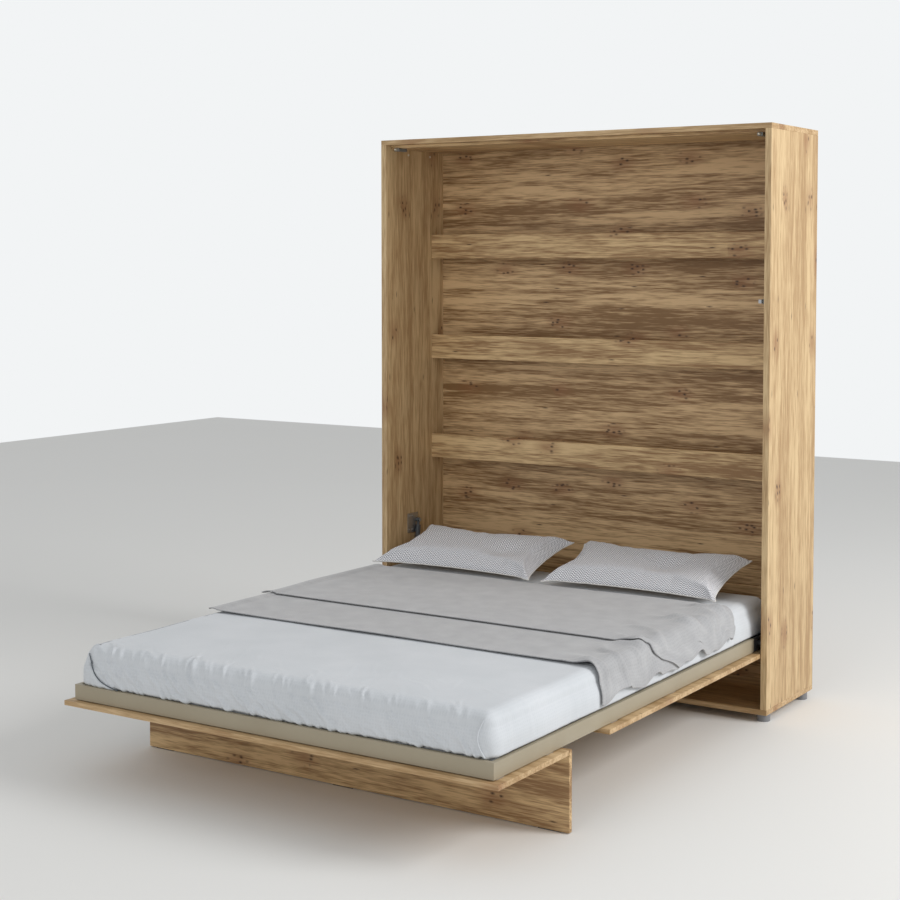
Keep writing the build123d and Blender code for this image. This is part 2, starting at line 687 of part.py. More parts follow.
def frame_rail_head():
    """Head rail between the pivot arms."""
    rail = block((-RAIL_IN, RAIL_IN), (HEAD_RAIL_Y, ARM_HEAD_Y), (FRAME_LOW, FRAME_TOP))
    core = block(
        (-RAIL_IN - 1, RAIL_IN + 1),
        (HEAD_RAIL_Y + TUBE_WALL, ARM_HEAD_Y - TUBE_WALL),
        (FRAME_LOW + TUBE_WALL, FRAME_TOP - TUBE_WALL),
    )
    return rail - core


def pivot_arm_right():
    """Dark steel arm at the head of the side rail: pivot hole, strut stud and tongue."""
    arm = block((RAIL_IN, RAIL_OUT), (ARM_START_Y, ARM_HEAD_Y), (FRAME_LOW, FRAME_TOP))
    inset = TUBE_WALL + TONGUE_FIT
    tongue = block(
        (RAIL_IN + inset, RAIL_OUT - inset),
        (ARM_START_Y - ARM_TONGUE, ARM_START_Y),
        (FRAME_LOW + inset, FRAME_TOP - inset),
    )
    stud = bar_x((RAIL_OUT - 5, STRUT_X - EYE_WIDE / 2 - 0.5), STRUT_LOW_Y, STRUT_LOW_Z, STRUT_STUD_R)
    bore = bar_x((RAIL_IN - 1, RAIL_OUT + 1), PIVOT_Y, PIVOT_Z, PIVOT_R)
    seat = bar_x((RAIL_IN - 1, RAIL_IN + PIVOT_HEAD), PIVOT_Y, PIVOT_Z, PIVOT_HEAD_R)
    return cut(arm + tongue + stud, [bore, seat])


def pivot_bolt_right():
    """Pivot bolt, fixed in the arm, with its plain end turning in the bush."""
    head = bar_x((RAIL_IN, RAIL_IN + PIVOT_HEAD), PIVOT_Y, PIVOT_Z, PIVOT_HEAD_R)
    return head + bar_x((RAIL_IN + 1, SIDE_IN - 0.5), PIVOT_Y, PIVOT_Z, PIVOT_R)


def pivot_spacer_right():
    """Sleeve on the pivot bolt that keeps the arm off the boss."""
    sleeve = bar_x((RAIL_OUT, SIDE_IN - BOSS_LONG - 0.3), PIVOT_Y, PIVOT_Z, SPACER_R)
    return sleeve - bar_x((RAIL_OUT - 1, SIDE_IN), PIVOT_Y, PIVOT_Z, PIVOT_R + PIVOT_RUN)


def cross_bar_places():
    """Where the flat cross bars lie along the bed; the first one carries the leg."""
    return [LEG_Y, LEG_Y + LEG_Z - 22, (LEG_Y + LEG_Z) * 0.6, -50.0]


def cross_bars():
    """Flat bars across the frame; the leg's bar has lugs for the leg pins under it."""
    bars = []
    for y in cross_bar_places():
        bar = block((-RAIL_IN, RAIL_IN), (y - BAR_WIDE / 2, y + BAR_WIDE / 2), (FRAME_LOW, BAR_TOP))
        bars.append(bar)
    for x in (-LEG_LUG_X, 0, LEG_LUG_X):
        bars[0] += leg_lug(x)
    return bars


def leg_lug(x):
    """One lug: a short tongue with a round end, bored for the leg's pin."""
    half = LEG_LUG_WIDE / 2
    r = 6.0
    neck = block((x - half, x + half), (LEG_Y - r, LEG_Y + r), (LEG_Z, FRAME_LOW + 1))
    end = bar_x((x - half, x + half), LEG_Y, LEG_Z, r)
    return neck + end - bar_x((x - half - 1, x + half + 1), LEG_Y, LEG_Z, LEG_PIN_R + LEG_PIN_RUN)


def centre_beam():
    """Lengthwise bar in the middle, in lengths between the cross bars."""
    beam = block((-BEAM_WIDE / 2, BEAM_WIDE / 2), (FOOT_RAIL_Y, HEAD_RAIL_Y), (FRAME_LOW, BAR_TOP))
    half = BAR_WIDE / 2
    bars = [
        block((-RAIL_IN, RAIL_IN), (y - half, y + half), (FRAME_LOW - 1, BAR_TOP + 1))
        for y in cross_bar_places()
    ]
    return cut(beam, bars)


def slat_places():
    """Middle of each slat along the bed, evenly shared between foot and head."""
    first = FOOT_RAIL_Y + SLAT_WIDE + 12
    last = HEAD_RAIL_Y - SLAT_WIDE - 12
    step = (last - first) / (SLAT_COUNT - 1)
    return [first + step * i for i in range(SLAT_COUNT)]


def slats():
    """Two rows of laminated slats, from the middle beam out to the side rails."""
    rows = []
    for y in slat_places():
        slat = block(
            (HOLDER_WALL, RAIL_IN - HOLDER_WALL), (y - SLAT_WIDE / 2, y + SLAT_WIDE / 2), (SLAT_LOW, SLAT_TOP)
        )
        rows += pair(fillet(slat.edges().filter_by(Axis.X), 2))
    return rows


def slat_holders():
    """Plastic pockets for the slat ends, at the rails and on the middle beam."""
    holders = []
    half = SLAT_WIDE / 2 + SLAT_FIT
    roof = SLAT_TOP + SLAT_FIT + 2
    for y in slat_places():
        pocket = block((-SIDE_IN, SIDE_IN), (y - half, y + half), (SLAT_LOW - SLAT_FIT, SLAT_TOP + SLAT_FIT))
        spread = (y - half - HOLDER_WALL, y + half + HOLDER_WALL)
        outer = block((RAIL_IN - 36, RAIL_IN), spread, (BAR_TOP, roof))
        keep = block((RAIL_IN - HOLDER_WALL + SLAT_FIT, RAIL_IN), spread, (BAR_TOP, roof))
        holders += pair((outer - pocket) + keep)
        middle = block((-30, 30), spread, (BAR_TOP, roof)) - pocket
        web = block((-HOLDER_WALL + SLAT_FIT, HOLDER_WALL - SLAT_FIT), spread, (BAR_TOP, roof))
        holders.append(middle + web)
    return holders


# ---------------------------------------------------------------- front boards and leg


def clip_places():
    """Middle of each spacer clip at the right-hand side rail."""
    main = MAIN_BOARD_FOOT_Y
    steps = [main + (MAIN_BOARD_HEAD_Y - main) * part for part in (0.06, 0.35, 0.62)]
    strip = [BOARD_FOOT_Y + CLIP_END_IN, BOARD_FOOT_Y + STRIP_DEPTH - CLIP_END_IN]
    return strip + steps + [HEAD_RAIL_Y - CLIP_HEAD_IN]


def panel_clips():
    """Steel spacer clips under the side rails, one screw each into the boards."""
    clips = []
    for y in clip_places():
        reach = (RAIL_IN - 45, RAIL_OUT - 2)
        clip = block(reach, (y - CLIP / 2, y + CLIP / 2), (BOARD_TOP, FRAME_LOW))
        clips += pair(cut(clip, panel_screws()))
    return clips


def panel_screws():
    """The screws that hold the front boards to the clips."""
    screws = []
    for y in clip_places():
        x = RAIL_IN - 25
        shank = bar_z(x, y, (BOARD_TOP - 12, FRAME_LOW), SCREW_R)
        screws += pair(shank + bar_z(x, y, (FRAME_LOW, FRAME_LOW + SCREW_HEAD), SCREW_HEAD_R))
    return screws


def front_strip():
    """Foot strip: the top board of the front when the bed is shut."""
    depth = (BOARD_FOOT_Y, BOARD_FOOT_Y + STRIP_DEPTH)
    return cut(board((-BOARD_OUT, BOARD_OUT), depth, (BOARD_LOW, BOARD_TOP)), panel_screws())


def front_main():
    """Main board: from below the leg's slot to inside the cabinet."""
    depth = (MAIN_BOARD_FOOT_Y, MAIN_BOARD_HEAD_Y)
    return cut(board((-BOARD_OUT, BOARD_OUT), depth, (BOARD_LOW, BOARD_TOP)), panel_screws())


def leg_board():
    """Leg: a board as wide as the front, notched round the lugs."""
    depth = (LEG_Y - BOARD_THICK / 2, LEG_Y + BOARD_THICK / 2)
    leg = board((-BOARD_OUT, BOARD_OUT), depth, (LEG_GLIDE_THICK, LEG_Z + LEG_EDGE_ABOVE_AXIS))
    cuts = leg_pins()
    clear = LEG_LUG_WIDE / 2 + 2
    for x in (-LEG_LUG_X, 0, LEG_LUG_X):
        cuts.append(block((x - clear, x + clear), (depth[0] - 1, depth[1] + 1), (LEG_Z - 12, LEG_Z + 20)))
    return cut(leg, cuts)


def leg_pins():
    """Steel pins pressed in the leg's top edge, which turn in the lugs."""
    half = LEG_PIN_LENGTH / 2
    return [bar_x((x - half, x + half), LEG_Y, LEG_Z, LEG_PIN_R) for x in (-LEG_LUG_X, 0, LEG_LUG_X)]


def leg_glides():
    """Felt glides under the leg."""
    half = BOARD_THICK / 2 - 1.5
    return [
        block((x - 40, x + 40), (LEG_Y - half, LEG_Y + half), (0, LEG_GLIDE_THICK))
        for x in (-BOARD_OUT + 70, 0, BOARD_OUT - 70)
    ]


# ---------------------------------------------------------------- gas springs


def strut_frame():
    """Places a piece drawn along +Z onto the strut's line, from its upper stud down."""
    dy = STRUT_LOW_Y - STRUT_TOP_Y
    dz = STRUT_LOW_Z - STRUT_TOP_Z
    lean = degrees(atan2(-dy, dz))
    return Pos(STRUT_X, STRUT_TOP_Y, STRUT_TOP_Z) * Rot(lean, 0, 0)


def eye(at):
    """Round eye of a strut end, across X, at a distance along the strut."""
    ring = Pos(0, 0, at) * Rot(0, 90, 0) * Cylinder(EYE_R, EYE_WIDE)
    return ring - Pos(0, 0, at) * Rot(0, 90, 0) * Cylinder(STRUT_STUD_R + STRUT_RUN, EYE_WIDE + 2)


def gas_cylinder_right():
    """Pressure tube with its upper eye."""
    tube = bar_z(0, 0, (CYLINDER_START, CYLINDER_END), CYLINDER_R)
    tube = fillet(tube.edges(), 2)
    hollow = (CYLINDER_START + CYLINDER_CAP + CYLINDER_SEAL / 2, CYLINDER_END - CYLINDER_SEAL / 2)
    tube -= bar_z(0, 0, hollow, CYLINDER_R - CYLINDER_WALL)
    bore = bar_z(0, 0, (CYLINDER_END - 30, CYLINDER_END + 30), ROD_R + STRUT_RUN)
    neck = bar_z(0, 0, (EYE_R - 1, CYLINDER_START + 0.5), NECK_R)
    return strut_frame() * (eye(0) + (tube - bore) + neck)


def gas_rod_right():
    """Piston rod with its piston and its lower eye."""
    rod = bar_z(0, 0, (ROD_START, STRUT_OPEN - EYE_R + 1), ROD_R)
    piston = bar_z(0, 0, (ROD_START, ROD_START + PISTON_LONG), CYLINDER_R - CYLINDER_WALL - 0.4)
    return strut_frame() * (rod + piston + eye(STRUT_OPEN))


# ---------------------------------------------------------------- soft goods


def mattress():
    """Mattress core with rounded corners."""
    half = MATTRESS_WIDTH / 2 - SHEET_GAP - SHEET_THICK
    core = block(
        (-half, half), (MATTRESS_FOOT_Y, MATTRESS_HEAD_Y), (MATTRESS_LOW, MATTRESS_TOP)
    )
    core = fillet(core.edges().filter_by(Axis.Z), 45)
    return fillet(core.faces().sort_by(Axis.Z)[-1].edges(), 28)


def fitted_sheet():
    """Fitted sheet: a thin cover over the top and sides of the mattress."""
    grow = SHEET_GAP + SHEET_THICK
    half = MATTRESS_WIDTH / 2
    outer = block(
        (-half, half), (MATTRESS_FOOT_Y - grow, MATTRESS_HEAD_Y + grow), (MATTRESS_LOW + 6, SHEET_TOP)
    )
    outer = fillet(outer.edges().filter_by(Axis.Z), 45 + grow)
    outer = fillet(outer.faces().sort_by(Axis.Z)[-1].edges(), 28 + grow)
    half -= SHEET_THICK
    inner = block(
        (-half, half),
        (MATTRESS_FOOT_Y - SHEET_GAP, MATTRESS_HEAD_Y + SHEET_GAP),
        (MATTRESS_LOW - 10, MATTRESS_TOP + SHEET_GAP),
    )
    inner = fillet(inner.edges().filter_by(Axis.Z), 45 + SHEET_GAP)
    inner = fillet(inner.faces().sort_by(Axis.Z)[-1].edges(), 28 + SHEET_GAP)
    return outer - inner


def throw():
    """Knitted throw over the upper half of the bed, hanging down both sides."""
    half = MATTRESS_WIDTH / 2 + 1
    low = SHEET_TOP + 0.5
    bottom = FRAME_TOP + 4
    depth = (THROW_FOOT_Y, THROW_HEAD_Y)
    outer = block((-half - THROW_THICK, half + THROW_THICK), depth, (bottom, low + THROW_THICK))
    outer = fillet(outer.edges().filter_by(Axis.Y).sort_by(Axis.Z)[-2:], 36)
    inner = block((-half, half), (depth[0] - 1, depth[1] + 1), (bottom - 1, low))
    inner = fillet(inner.edges().filter_by(Axis.Y).sort_by(Axis.Z)[-2:], 27)
    return outer - inner


def pillow(x_low, x_high):
    """Plain wedge that stands for a pillow with its back edge raised."""
    low = SHEET_TOP + THROW_THICK + 1.5
    outline = Polyline(
        (PILLOW_FRONT_Y, low),
        (PILLOW_FRONT_Y, low + 22),
        (PILLOW_FRONT_Y + 190, PILLOW_TOP - 8),
        (PILLOW_BACK_Y, PILLOW_TOP),
        (PILLOW_BACK_Y, PILLOW_TOP - 34),
        (PILLOW_BACK_Y - 60, low),
        close=True,
    )
    face = make_face(Plane.YZ * outline)
    body = Pos(x_low, 0, 0) * extrude(face, x_high - x_low, dir=(1, 0, 0))
    return fillet(body.edges().filter_by(Axis.X), 8)


# ---------------------------------------------------------------- writing the nodes


def nodes():
    """Every node by name, as a list of solids."""
    made = {
        "side_panel_left": [side_panel_left()],
        "side_panel_right": [side_panel_right()],
        "top_panel": [top_panel()],
        "bottom_panel": [bottom_panel()],
        "top_stop_board": [top_stop_board()],
        "back_joint_profiles": back_joint_profiles(),
        "lower_back_board": [lower_back_board()],
        "rail_angles": rail_angles(),
        "bracket_screws": bracket_screws(),
        "panel_joint_screws": panel_joint_screws(),
        "cover_caps": cover_caps(),
        "foot_sockets": foot_sockets(),
        "wall_brackets": wall_brackets(),
        "pivot_plates": pair(pivot_plate_right()),
        "pivot_plate_bolts": [bolt for one in pivot_plate_bolts() for bolt in pair(one)],
        "pivot_bushes": pair(pivot_bush_right()),
        "strut_brackets": pair(strut_bracket_right()),
        "damper_housings": pair(damper_housing_right()),
        "latch_housing": [latch_housing()],
        "latch_bolt": [latch_bolt()],
        "damper_plunger_left": [left(damper_plunger_right())],
        "damper_plunger_right": [damper_plunger_right()],
        "gas_cylinder_left": [left(gas_cylinder_right())],
        "gas_cylinder_right": [gas_cylinder_right()],
        "gas_rod_left": [left(gas_rod_right())],
        "gas_rod_right": [gas_rod_right()],
        "frame_rail_left": [left(frame_rail_right())],
        "frame_rail_right": [frame_rail_right()],
        "frame_rail_foot": [frame_rail_foot()],
        "frame_rail_head": [frame_rail_head()],
        "pivot_arms": pair(pivot_arm_right()),
        "pivot_bolts": pair(pivot_bolt_right()),
        "pivot_spacers": pair(pivot_spacer_right()),
        "cross_bars": cross_bars(),
        "centre_beam": [centre_beam()],
        "slats": slats(),
        "slat_holders": slat_holders(),
        "panel_clips": panel_clips(),
        "panel_screws": panel_screws(),
        "front_strip": [front_strip()],
        "front_main": [front_main()],
        "leg_board": [leg_board()],
        "leg_pins": leg_pins(),
        "leg_glides": leg_glides(),
        "mattress": [mattress()],
        "fitted_sheet": [fitted_sheet()],
        "throw": [throw()],
        "pillow_left": [pillow(*PILLOW_SPANS[0])],
        "pillow_right": [pillow(*PILLOW_SPANS[1])],
    }
    made.update({name: [panel] for name, panel in back_panels().items()})
    for name, top in zip(("cross_rail_top", "cross_rail_middle", "cross_rail_bottom"), CROSS_RAIL_TOPS):
        made[name] = [cross_rail(top)]
    for name, x, y in foot_places():
        made[name] = [levelling_foot(x, y)]
    return made


def write_parts():
    """One STEP file for each node, moved to the part's origin."""
    os.makedirs("parts", exist_ok=True)
    for name, shapes in nodes().items():
        solids = [Pos(0, ORIGIN_SHIFT, 0) * solid for shape in shapes for solid in shape.solids()]
        whole = solids[0] if len(solids) == 1 else Compound(solids)
        export_step(whole, "parts/" + name + ".step")


write_parts()
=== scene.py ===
import math

import bpy
import numpy as np
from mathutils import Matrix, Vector


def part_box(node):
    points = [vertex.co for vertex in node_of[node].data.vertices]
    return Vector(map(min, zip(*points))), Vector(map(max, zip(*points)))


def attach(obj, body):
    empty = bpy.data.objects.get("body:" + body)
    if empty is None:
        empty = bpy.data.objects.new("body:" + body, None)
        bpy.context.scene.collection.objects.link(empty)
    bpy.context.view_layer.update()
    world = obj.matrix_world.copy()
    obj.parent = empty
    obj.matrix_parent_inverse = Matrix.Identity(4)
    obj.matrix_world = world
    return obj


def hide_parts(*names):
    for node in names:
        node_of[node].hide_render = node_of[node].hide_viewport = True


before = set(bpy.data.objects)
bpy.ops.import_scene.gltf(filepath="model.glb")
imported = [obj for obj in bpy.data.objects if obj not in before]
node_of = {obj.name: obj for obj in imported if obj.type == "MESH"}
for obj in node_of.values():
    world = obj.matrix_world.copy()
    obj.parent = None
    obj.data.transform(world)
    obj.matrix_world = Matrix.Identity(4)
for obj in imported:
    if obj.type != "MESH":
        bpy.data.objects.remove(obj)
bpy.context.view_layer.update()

# ---- Cabinet boards ----
# Melamine-faced chipboard with a printed oak decor: matt, slightly embossed along the grain, with
# dark knots joined by reddish streaks. The sides stand with the grain upright, and every other
# board lies with the grain across the bed. The rails and the back panels take darker copies of
# the same decor: painted shade, where the inside of the cabinet falls dark.
BAND_MM = 70.0  # a broad growth band of the decor
LINE_MM = 11.0  # a single growth line
PORE_MM = 4.0  # a real pore is under 1 mm wide, drawn wider so that it shows across a room
GRAIN_STRETCH = 0.06
KNOT_CELL_MM = 150.0
DOT_MM = 15.0
CRACK_CELL_MM = 60.0
KNOT_STRETCH = 0.55
CRACK_STRETCH = 0.16


def linear(colour):
    """The linear value of an sRGB colour written as #RRGGBB."""
    channels = [int(colour[i : i + 2], 16) / 255 for i in (1, 3, 5)]
    return [c / 12.92 if c <= 0.04045 else ((c + 0.055) / 1.055) ** 2.4 for c in channels] + [1.0]


def add(tree, kind, inputs=None, **settings):
    """Adds a node with its settings, and fills its inputs with values or links."""
    made = tree.nodes.new(kind)
    for name, value in settings.items():
        setattr(made, name, value)
    for name, value in (inputs or {}).items():
        if isinstance(value, bpy.types.NodeSocket):
            tree.links.new(value, made.inputs[name])
        else:
            made.inputs[name].default_value = value
    return made


def surface(name, **values):
    """A new material with its node tree and shader, whose own sockets take the values."""
    material = bpy.data.materials.new(name)
    material.use_nodes = True
    shader = material.node_tree.nodes["Principled BSDF"]
    for socket, value in values.items():
        shader.inputs[socket.replace("_", " ")].default_value = value
    return material, material.node_tree, shader


def dress(material, *names):
    """Gives CAD nodes their finished material."""
    for name in names:
        mesh = node_of[name].data
        if not mesh.materials:
            mesh.materials.append(material)
        for i in range(len(mesh.materials)):
            mesh.materials[i] = material


def oak(name, grain, thickness, light, dark):
    """Oak decor with its grain along one axis, on a board whose thickness is along another."""
    material, tree, shader = surface(name, Roughness=0.5)
    place = add(tree, "ShaderNodeTexCoord").outputs["Object"]
    stretch = [GRAIN_STRETCH if axis == grain else 1.0 for axis in "xyz"]
    run = add(tree, "ShaderNodeMapping", {"Vector": place, "Scale": stretch}).outputs[0]
    figure = [
        add(
            tree,
            "ShaderNodeTexNoise",
            {"Vector": run, "Scale": 1000 / width, "Detail": detail, "Distortion": bend},
        ).outputs[0]
        for width, detail, bend in ((BAND_MM, 2.0, 0.8), (LINE_MM, 3.0, 0.4), (PORE_MM, 2.0, 0.0))
    ]
    lines = add(
        tree, "ShaderNodeMath", {0: figure[1], 1: 0.9, 2: figure[0]}, operation="MULTIPLY_ADD"
    ).outputs[0]
    total = add(
        tree, "ShaderNodeMath", {0: figure[2], 1: 0.8, 2: lines}, operation="MULTIPLY_ADD"
    ).outputs[0]
    share = add(
        tree, "ShaderNodeMapRange", {"Value": total, "From Min": 1.15, "From Max": 1.55}
    ).outputs[0]
    wood = add(
        tree, "ShaderNodeMix", {0: share, 6: linear(dark), 7: linear(light)}, data_type="RGBA"
    ).outputs[2]
    axes = add(tree, "ShaderNodeSeparateXYZ", {"Vector": place})
    other = next(axis for axis in "xyz" if axis not in (grain, thickness))
    face = add(
        tree,
        "ShaderNodeCombineXYZ",
        {0: axes.outputs["xyz".index(grain)], 1: axes.outputs["xyz".index(other)]},
    ).outputs[0]

    def cells(size_mm, long):
        """Scattered points of the decor on the face of the board, stretched along the grain."""
        spread = add(tree, "ShaderNodeMapping", {"Vector": face, "Scale": (long, 1.0, 1.0)}).outputs[0]
        return add(
            tree,
            "ShaderNodeTexVoronoi",
            {"Vector": spread, "Scale": 1000 / size_mm},
            voronoi_dimensions="2D",
        )

    def within(cell, inner, outer, chance):
        """1 near a scattered point and 0 away from it, at only a share of the points."""
        near = add(
            tree,
            "ShaderNodeMapRange",
            {"Value": cell.outputs["Distance"], "From Min": outer, "From Max": inner},
        ).outputs[0]
        draw = add(tree, "ShaderNodeSeparateColor", {"Color": cell.outputs["Color"]}).outputs[0]
        drawn = add(tree, "ShaderNodeMath", {0: draw, 1: chance}, operation="LESS_THAN").outputs[0]
        return add(tree, "ShaderNodeMath", {0: near, 1: drawn}, operation="MULTIPLY").outputs[0]

    halo = within(cells(KNOT_CELL_MM, KNOT_STRETCH), 0.0, 0.3, 0.42)
    dots = within(cells(DOT_MM, KNOT_STRETCH), 0.05, 0.42, 0.4)
    core = add(tree, "ShaderNodeMapRange", {"Value": halo, "From Min": 0.25, "From Max": 0.6}).outputs[0]
    knots = add(tree, "ShaderNodeMath", {0: dots, 1: core}, operation="MULTIPLY").outputs[0]
    cracks = within(cells(CRACK_CELL_MM, CRACK_STRETCH), 0.01, 0.05, 0.3)
    marks = add(tree, "ShaderNodeMath", {0: knots, 1: cracks}, operation="MAXIMUM").outputs[0]
    facing = add(tree, "ShaderNodeTexCoord").outputs["Normal"]
    square_on = add(tree, "ShaderNodeSeparateXYZ", {"Vector": facing}).outputs["xyz".index(thickness)]
    on_face = add(tree, "ShaderNodeMath", {0: square_on}, operation="ABSOLUTE").outputs[0]
    dark_marks = add(tree, "ShaderNodeMath", {0: marks, 1: on_face}, operation="MULTIPLY").outputs[0]
    reddish = add(tree, "ShaderNodeMath", {0: halo, 1: 0.6}, operation="MULTIPLY").outputs[0]
    stained = add(
        tree, "ShaderNodeMix", {0: reddish, 6: wood, 7: linear("#8A5A36")}, data_type="RGBA"
    ).outputs[2]
    knotted = add(
        tree, "ShaderNodeMix", {0: dark_marks, 6: stained, 7: linear("#3A2416")}, data_type="RGBA"
    ).outputs[2]
    tree.links.new(knotted, shader.inputs["Base Color"])
    emboss = add(tree, "ShaderNodeBump", {"Height": figure[2], "Strength": 0.2, "Distance": 0.0006})
    tree.links.new(emboss.outputs[0], shader.inputs["Normal"])
    return material


oak_sides = oak("oak decor upright", "z", "x", "#D4B88C", "#AA8960")
oak_decks = oak("oak decor decks", "x", "z", "#CEB086", "#A5845A")
# Darker tones for the rails, stop board and leg board: painted shade of the cabinet's inside.
oak_rails_shaded = oak("oak decor rails in painted shade", "x", "y", "#DABA8A", "#94714A")
# Darker still for the back panels: painted shade.
oak_back_shaded = oak("oak decor back in painted shade", "x", "y", "#D6B487", "#85633C")
dress(oak_sides, "side_panel_left", "side_panel_right")
dress(oak_decks, "top_panel", "bottom_panel", "front_main", "front_strip")
dress(
    oak_rails_shaded,
    "top_stop_board",
    "cross_rail_top",
    "cross_rail_middle",
    "cross_rail_bottom",
    "leg_board",
)
dress(
    oak_back_shaded,
    "back_panel_top",
    "back_panel_upper",
    "back_panel_middle",
    "back_panel_bottom",
    "lower_back_board",
)

# ---- Slats ----
# Sprung slats of pressed birch plywood, lacquered and pale. Faint lines run along them, across
# the bed, and their ends sit in moulded holders on the bed frame.
PLY_LINE_MM = 6.0


def birch():
    """Rotary-cut birch: pale, with faint long lines across the bed."""
    material, tree, shader = surface("lacquered birch plywood", Roughness=0.42)
    place = add(tree, "ShaderNodeTexCoord").outputs["Object"]
    run = add(tree, "ShaderNodeMapping", {"Vector": place, "Scale": (0.05, 1.0, 1.0)}).outputs[0]
    line = add(
        tree, "ShaderNodeTexNoise", {"Vector": run, "Scale": 1000 / PLY_LINE_MM, "Detail": 4.0}
    ).outputs[0]
    colour = add(
        tree,
        "ShaderNodeMix",
        {0: line, 6: linear("#C9AE80"), 7: linear("#E2CDA4")},
        data_type="RGBA",
    ).outputs[2]
    tree.links.new(colour, shader.inputs["Base Color"])
    raised = add(tree, "ShaderNodeBump", {"Height": line, "Strength": 0.1, "Distance": 0.0004})
    tree.links.new(raised.outputs[0], shader.inputs["Normal"])
    return material


dress(birch(), "slats")

# ---- Painted and plated metal ----
# The bed frame is welded steel tube with a champagne powder coat. The pivot arms and plates are
# dark powder-coated steel, and the gas springs dark grey with a ground rod. Screws, pins, clips
# and the small brackets are zinc plated.
ORANGE_PEEL_MM = 5.0


def coated(name, colour, worn, grain_mm, texture, **values):
    """An even finish with a slight drift in colour and a fine relief of a real grain size."""
    material, tree, shader = surface(name, **values)
    place = add(tree, "ShaderNodeTexCoord").outputs["Object"]
    cloud = add(tree, "ShaderNodeTexNoise", {"Vector": place, "Scale": 6.0, "Detail": 3.0}).outputs[0]
    mixed = add(
        tree, "ShaderNodeMix", {0: cloud, 6: linear(colour), 7: linear(worn)}, data_type="RGBA"
    ).outputs[2]
    tree.links.new(mixed, shader.inputs["Base Color"])
    grit = add(
        tree, "ShaderNodeTexNoise", {"Vector": place, "Scale": 1000 / grain_mm, "Detail": 2.0}
    ).outputs[0]
    relief = add(tree, "ShaderNodeBump", {"Height": grit, "Strength": texture, "Distance": 0.0003})
    tree.links.new(relief.outputs[0], shader.inputs["Normal"])
    return material


champagne = coated(
    "champagne powder coat", "#A79D88", "#9C917B", ORANGE_PEEL_MM, 0.25, Roughness=0.42
)
dark_steel = coated("dark powder coat", "#3E3E40", "#4A4A4C", 3.0, 0.3, Roughness=0.5)
strut_steel = coated("dark grey enamel", "#4A4E51", "#56595C", 8.0, 0.1, Roughness=0.3)
rod_steel = coated("ground steel rod", "#D0D0D2", "#C4C4C8", 2.0, 0.03, Roughness=0.14, Metallic=1.0)
zinc = coated("zinc plated steel", "#C4C6C8", "#B0B2B4", 3.0, 0.12, Roughness=0.45, Metallic=1.0)
dress(
    champagne,
    "frame_rail_left",
    "frame_rail_right",
    "frame_rail_foot",
    "frame_rail_head",
    "cross_bars",
    "centre_beam",
)
dress(dark_steel, "pivot_arms", "pivot_plates")
dress(strut_steel, "gas_cylinder_left", "gas_cylinder_right")
dress(rod_steel, "gas_rod_left", "gas_rod_right")
dress(
    zinc,
    "bracket_screws",
    "panel_joint_screws",
    "pivot_plate_bolts",
    "pivot_bolts",
    "panel_screws",
    "panel_clips",
    "leg_pins",
    "rail_angles",
    "wall_brackets",
    "strut_brackets",
    "foot_sockets",
    "latch_bolt",
)

# ---- Moulded plastic ----
# Injection-moulded parts with a fine spark-eroded skin: grey housings, grey feet that screw into
# their sockets, pale caps over the joint screws, black slat holders and nylon bushes.
SPARK_MM = 2.5

grey_nylon = coated("grey moulded nylon", "#6F6F6B", "#787874", SPARK_MM, 0.35, Roughness=0.55)
foot_nylon = coated("foot nylon", "#77777A", "#828285", SPARK_MM, 0.35, Roughness=0.5)
pale_abs = coated("pale moulded ABS", "#D9D0BC", "#E0D8C6", SPARK_MM, 0.2, Roughness=0.45)
black_abs = coated("black moulded ABS", "#1B1B1C", "#242425", SPARK_MM, 0.35, Roughness=0.5)
dress(grey_nylon, "damper_housings", "latch_housing")
dress(
    foot_nylon,
    "foot_front_left",
    "foot_front_right",
    "foot_rear_left",
    "foot_rear_right",
)
dress(
    pale_abs, "cover_caps", "back_joint_profiles", "damper_plunger_left", "damper_plunger_right"
)
dress(black_abs, "slat_holders", "pivot_bushes", "pivot_spacers")

# ---- Felt glides ----
# Pressed wool felt stuck under the board leg, where it meets the floor. Its short fibres lie
# every way.
FIBRE_MM = 1.8

dress(coated("pressed felt", "#45423F", "#55524E", FIBRE_MM, 0.9, Roughness=0.95), "leg_glides")

# ---- Mattress ----
# A pocket-sprung block in knitted ticking with foam under its faces, a little crowned, with
# rounded corners and edges. It lies in the frame on the slats, just under the fitted sheet.
SHEET_CLEAR = 0.004
TOP_EDGE = 0.042
CORNER = 0.036
CROWN = 0.003
LOW_EDGE = 0.02
CORE_STEP = 0.04
KNIT_MM = 7.0
sheet_low, sheet_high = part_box("fitted_sheet")
block_low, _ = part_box("mattress")
middle_y = (sheet_low.y + sheet_high.y) / 2
half_x = (sheet_high.x - sheet_low.x) / 2
half_y = (sheet_high.y - sheet_low.y) / 2


def spaced(half, fine_low, step, fine_step):
    """Rows from -half to half, close together round the edges and within fine_low of the start."""
    bend = TOP_EDGE * (1 - np.cos(np.linspace(0, math.pi / 2, 9)))
    first, last = -half + TOP_EDGE, half - TOP_EDGE
    split = first + fine_low
    fine = np.linspace(first, split, max(2, round(fine_low / fine_step)), endpoint=False)[1:]
    wide = np.linspace(split if fine_low else first, last, round((last - split) / step))
    wide = wide[:-1] if fine_low else wide[1:-1]
    return np.concatenate([-half + bend, fine, wide, (half - bend)[::-1]])


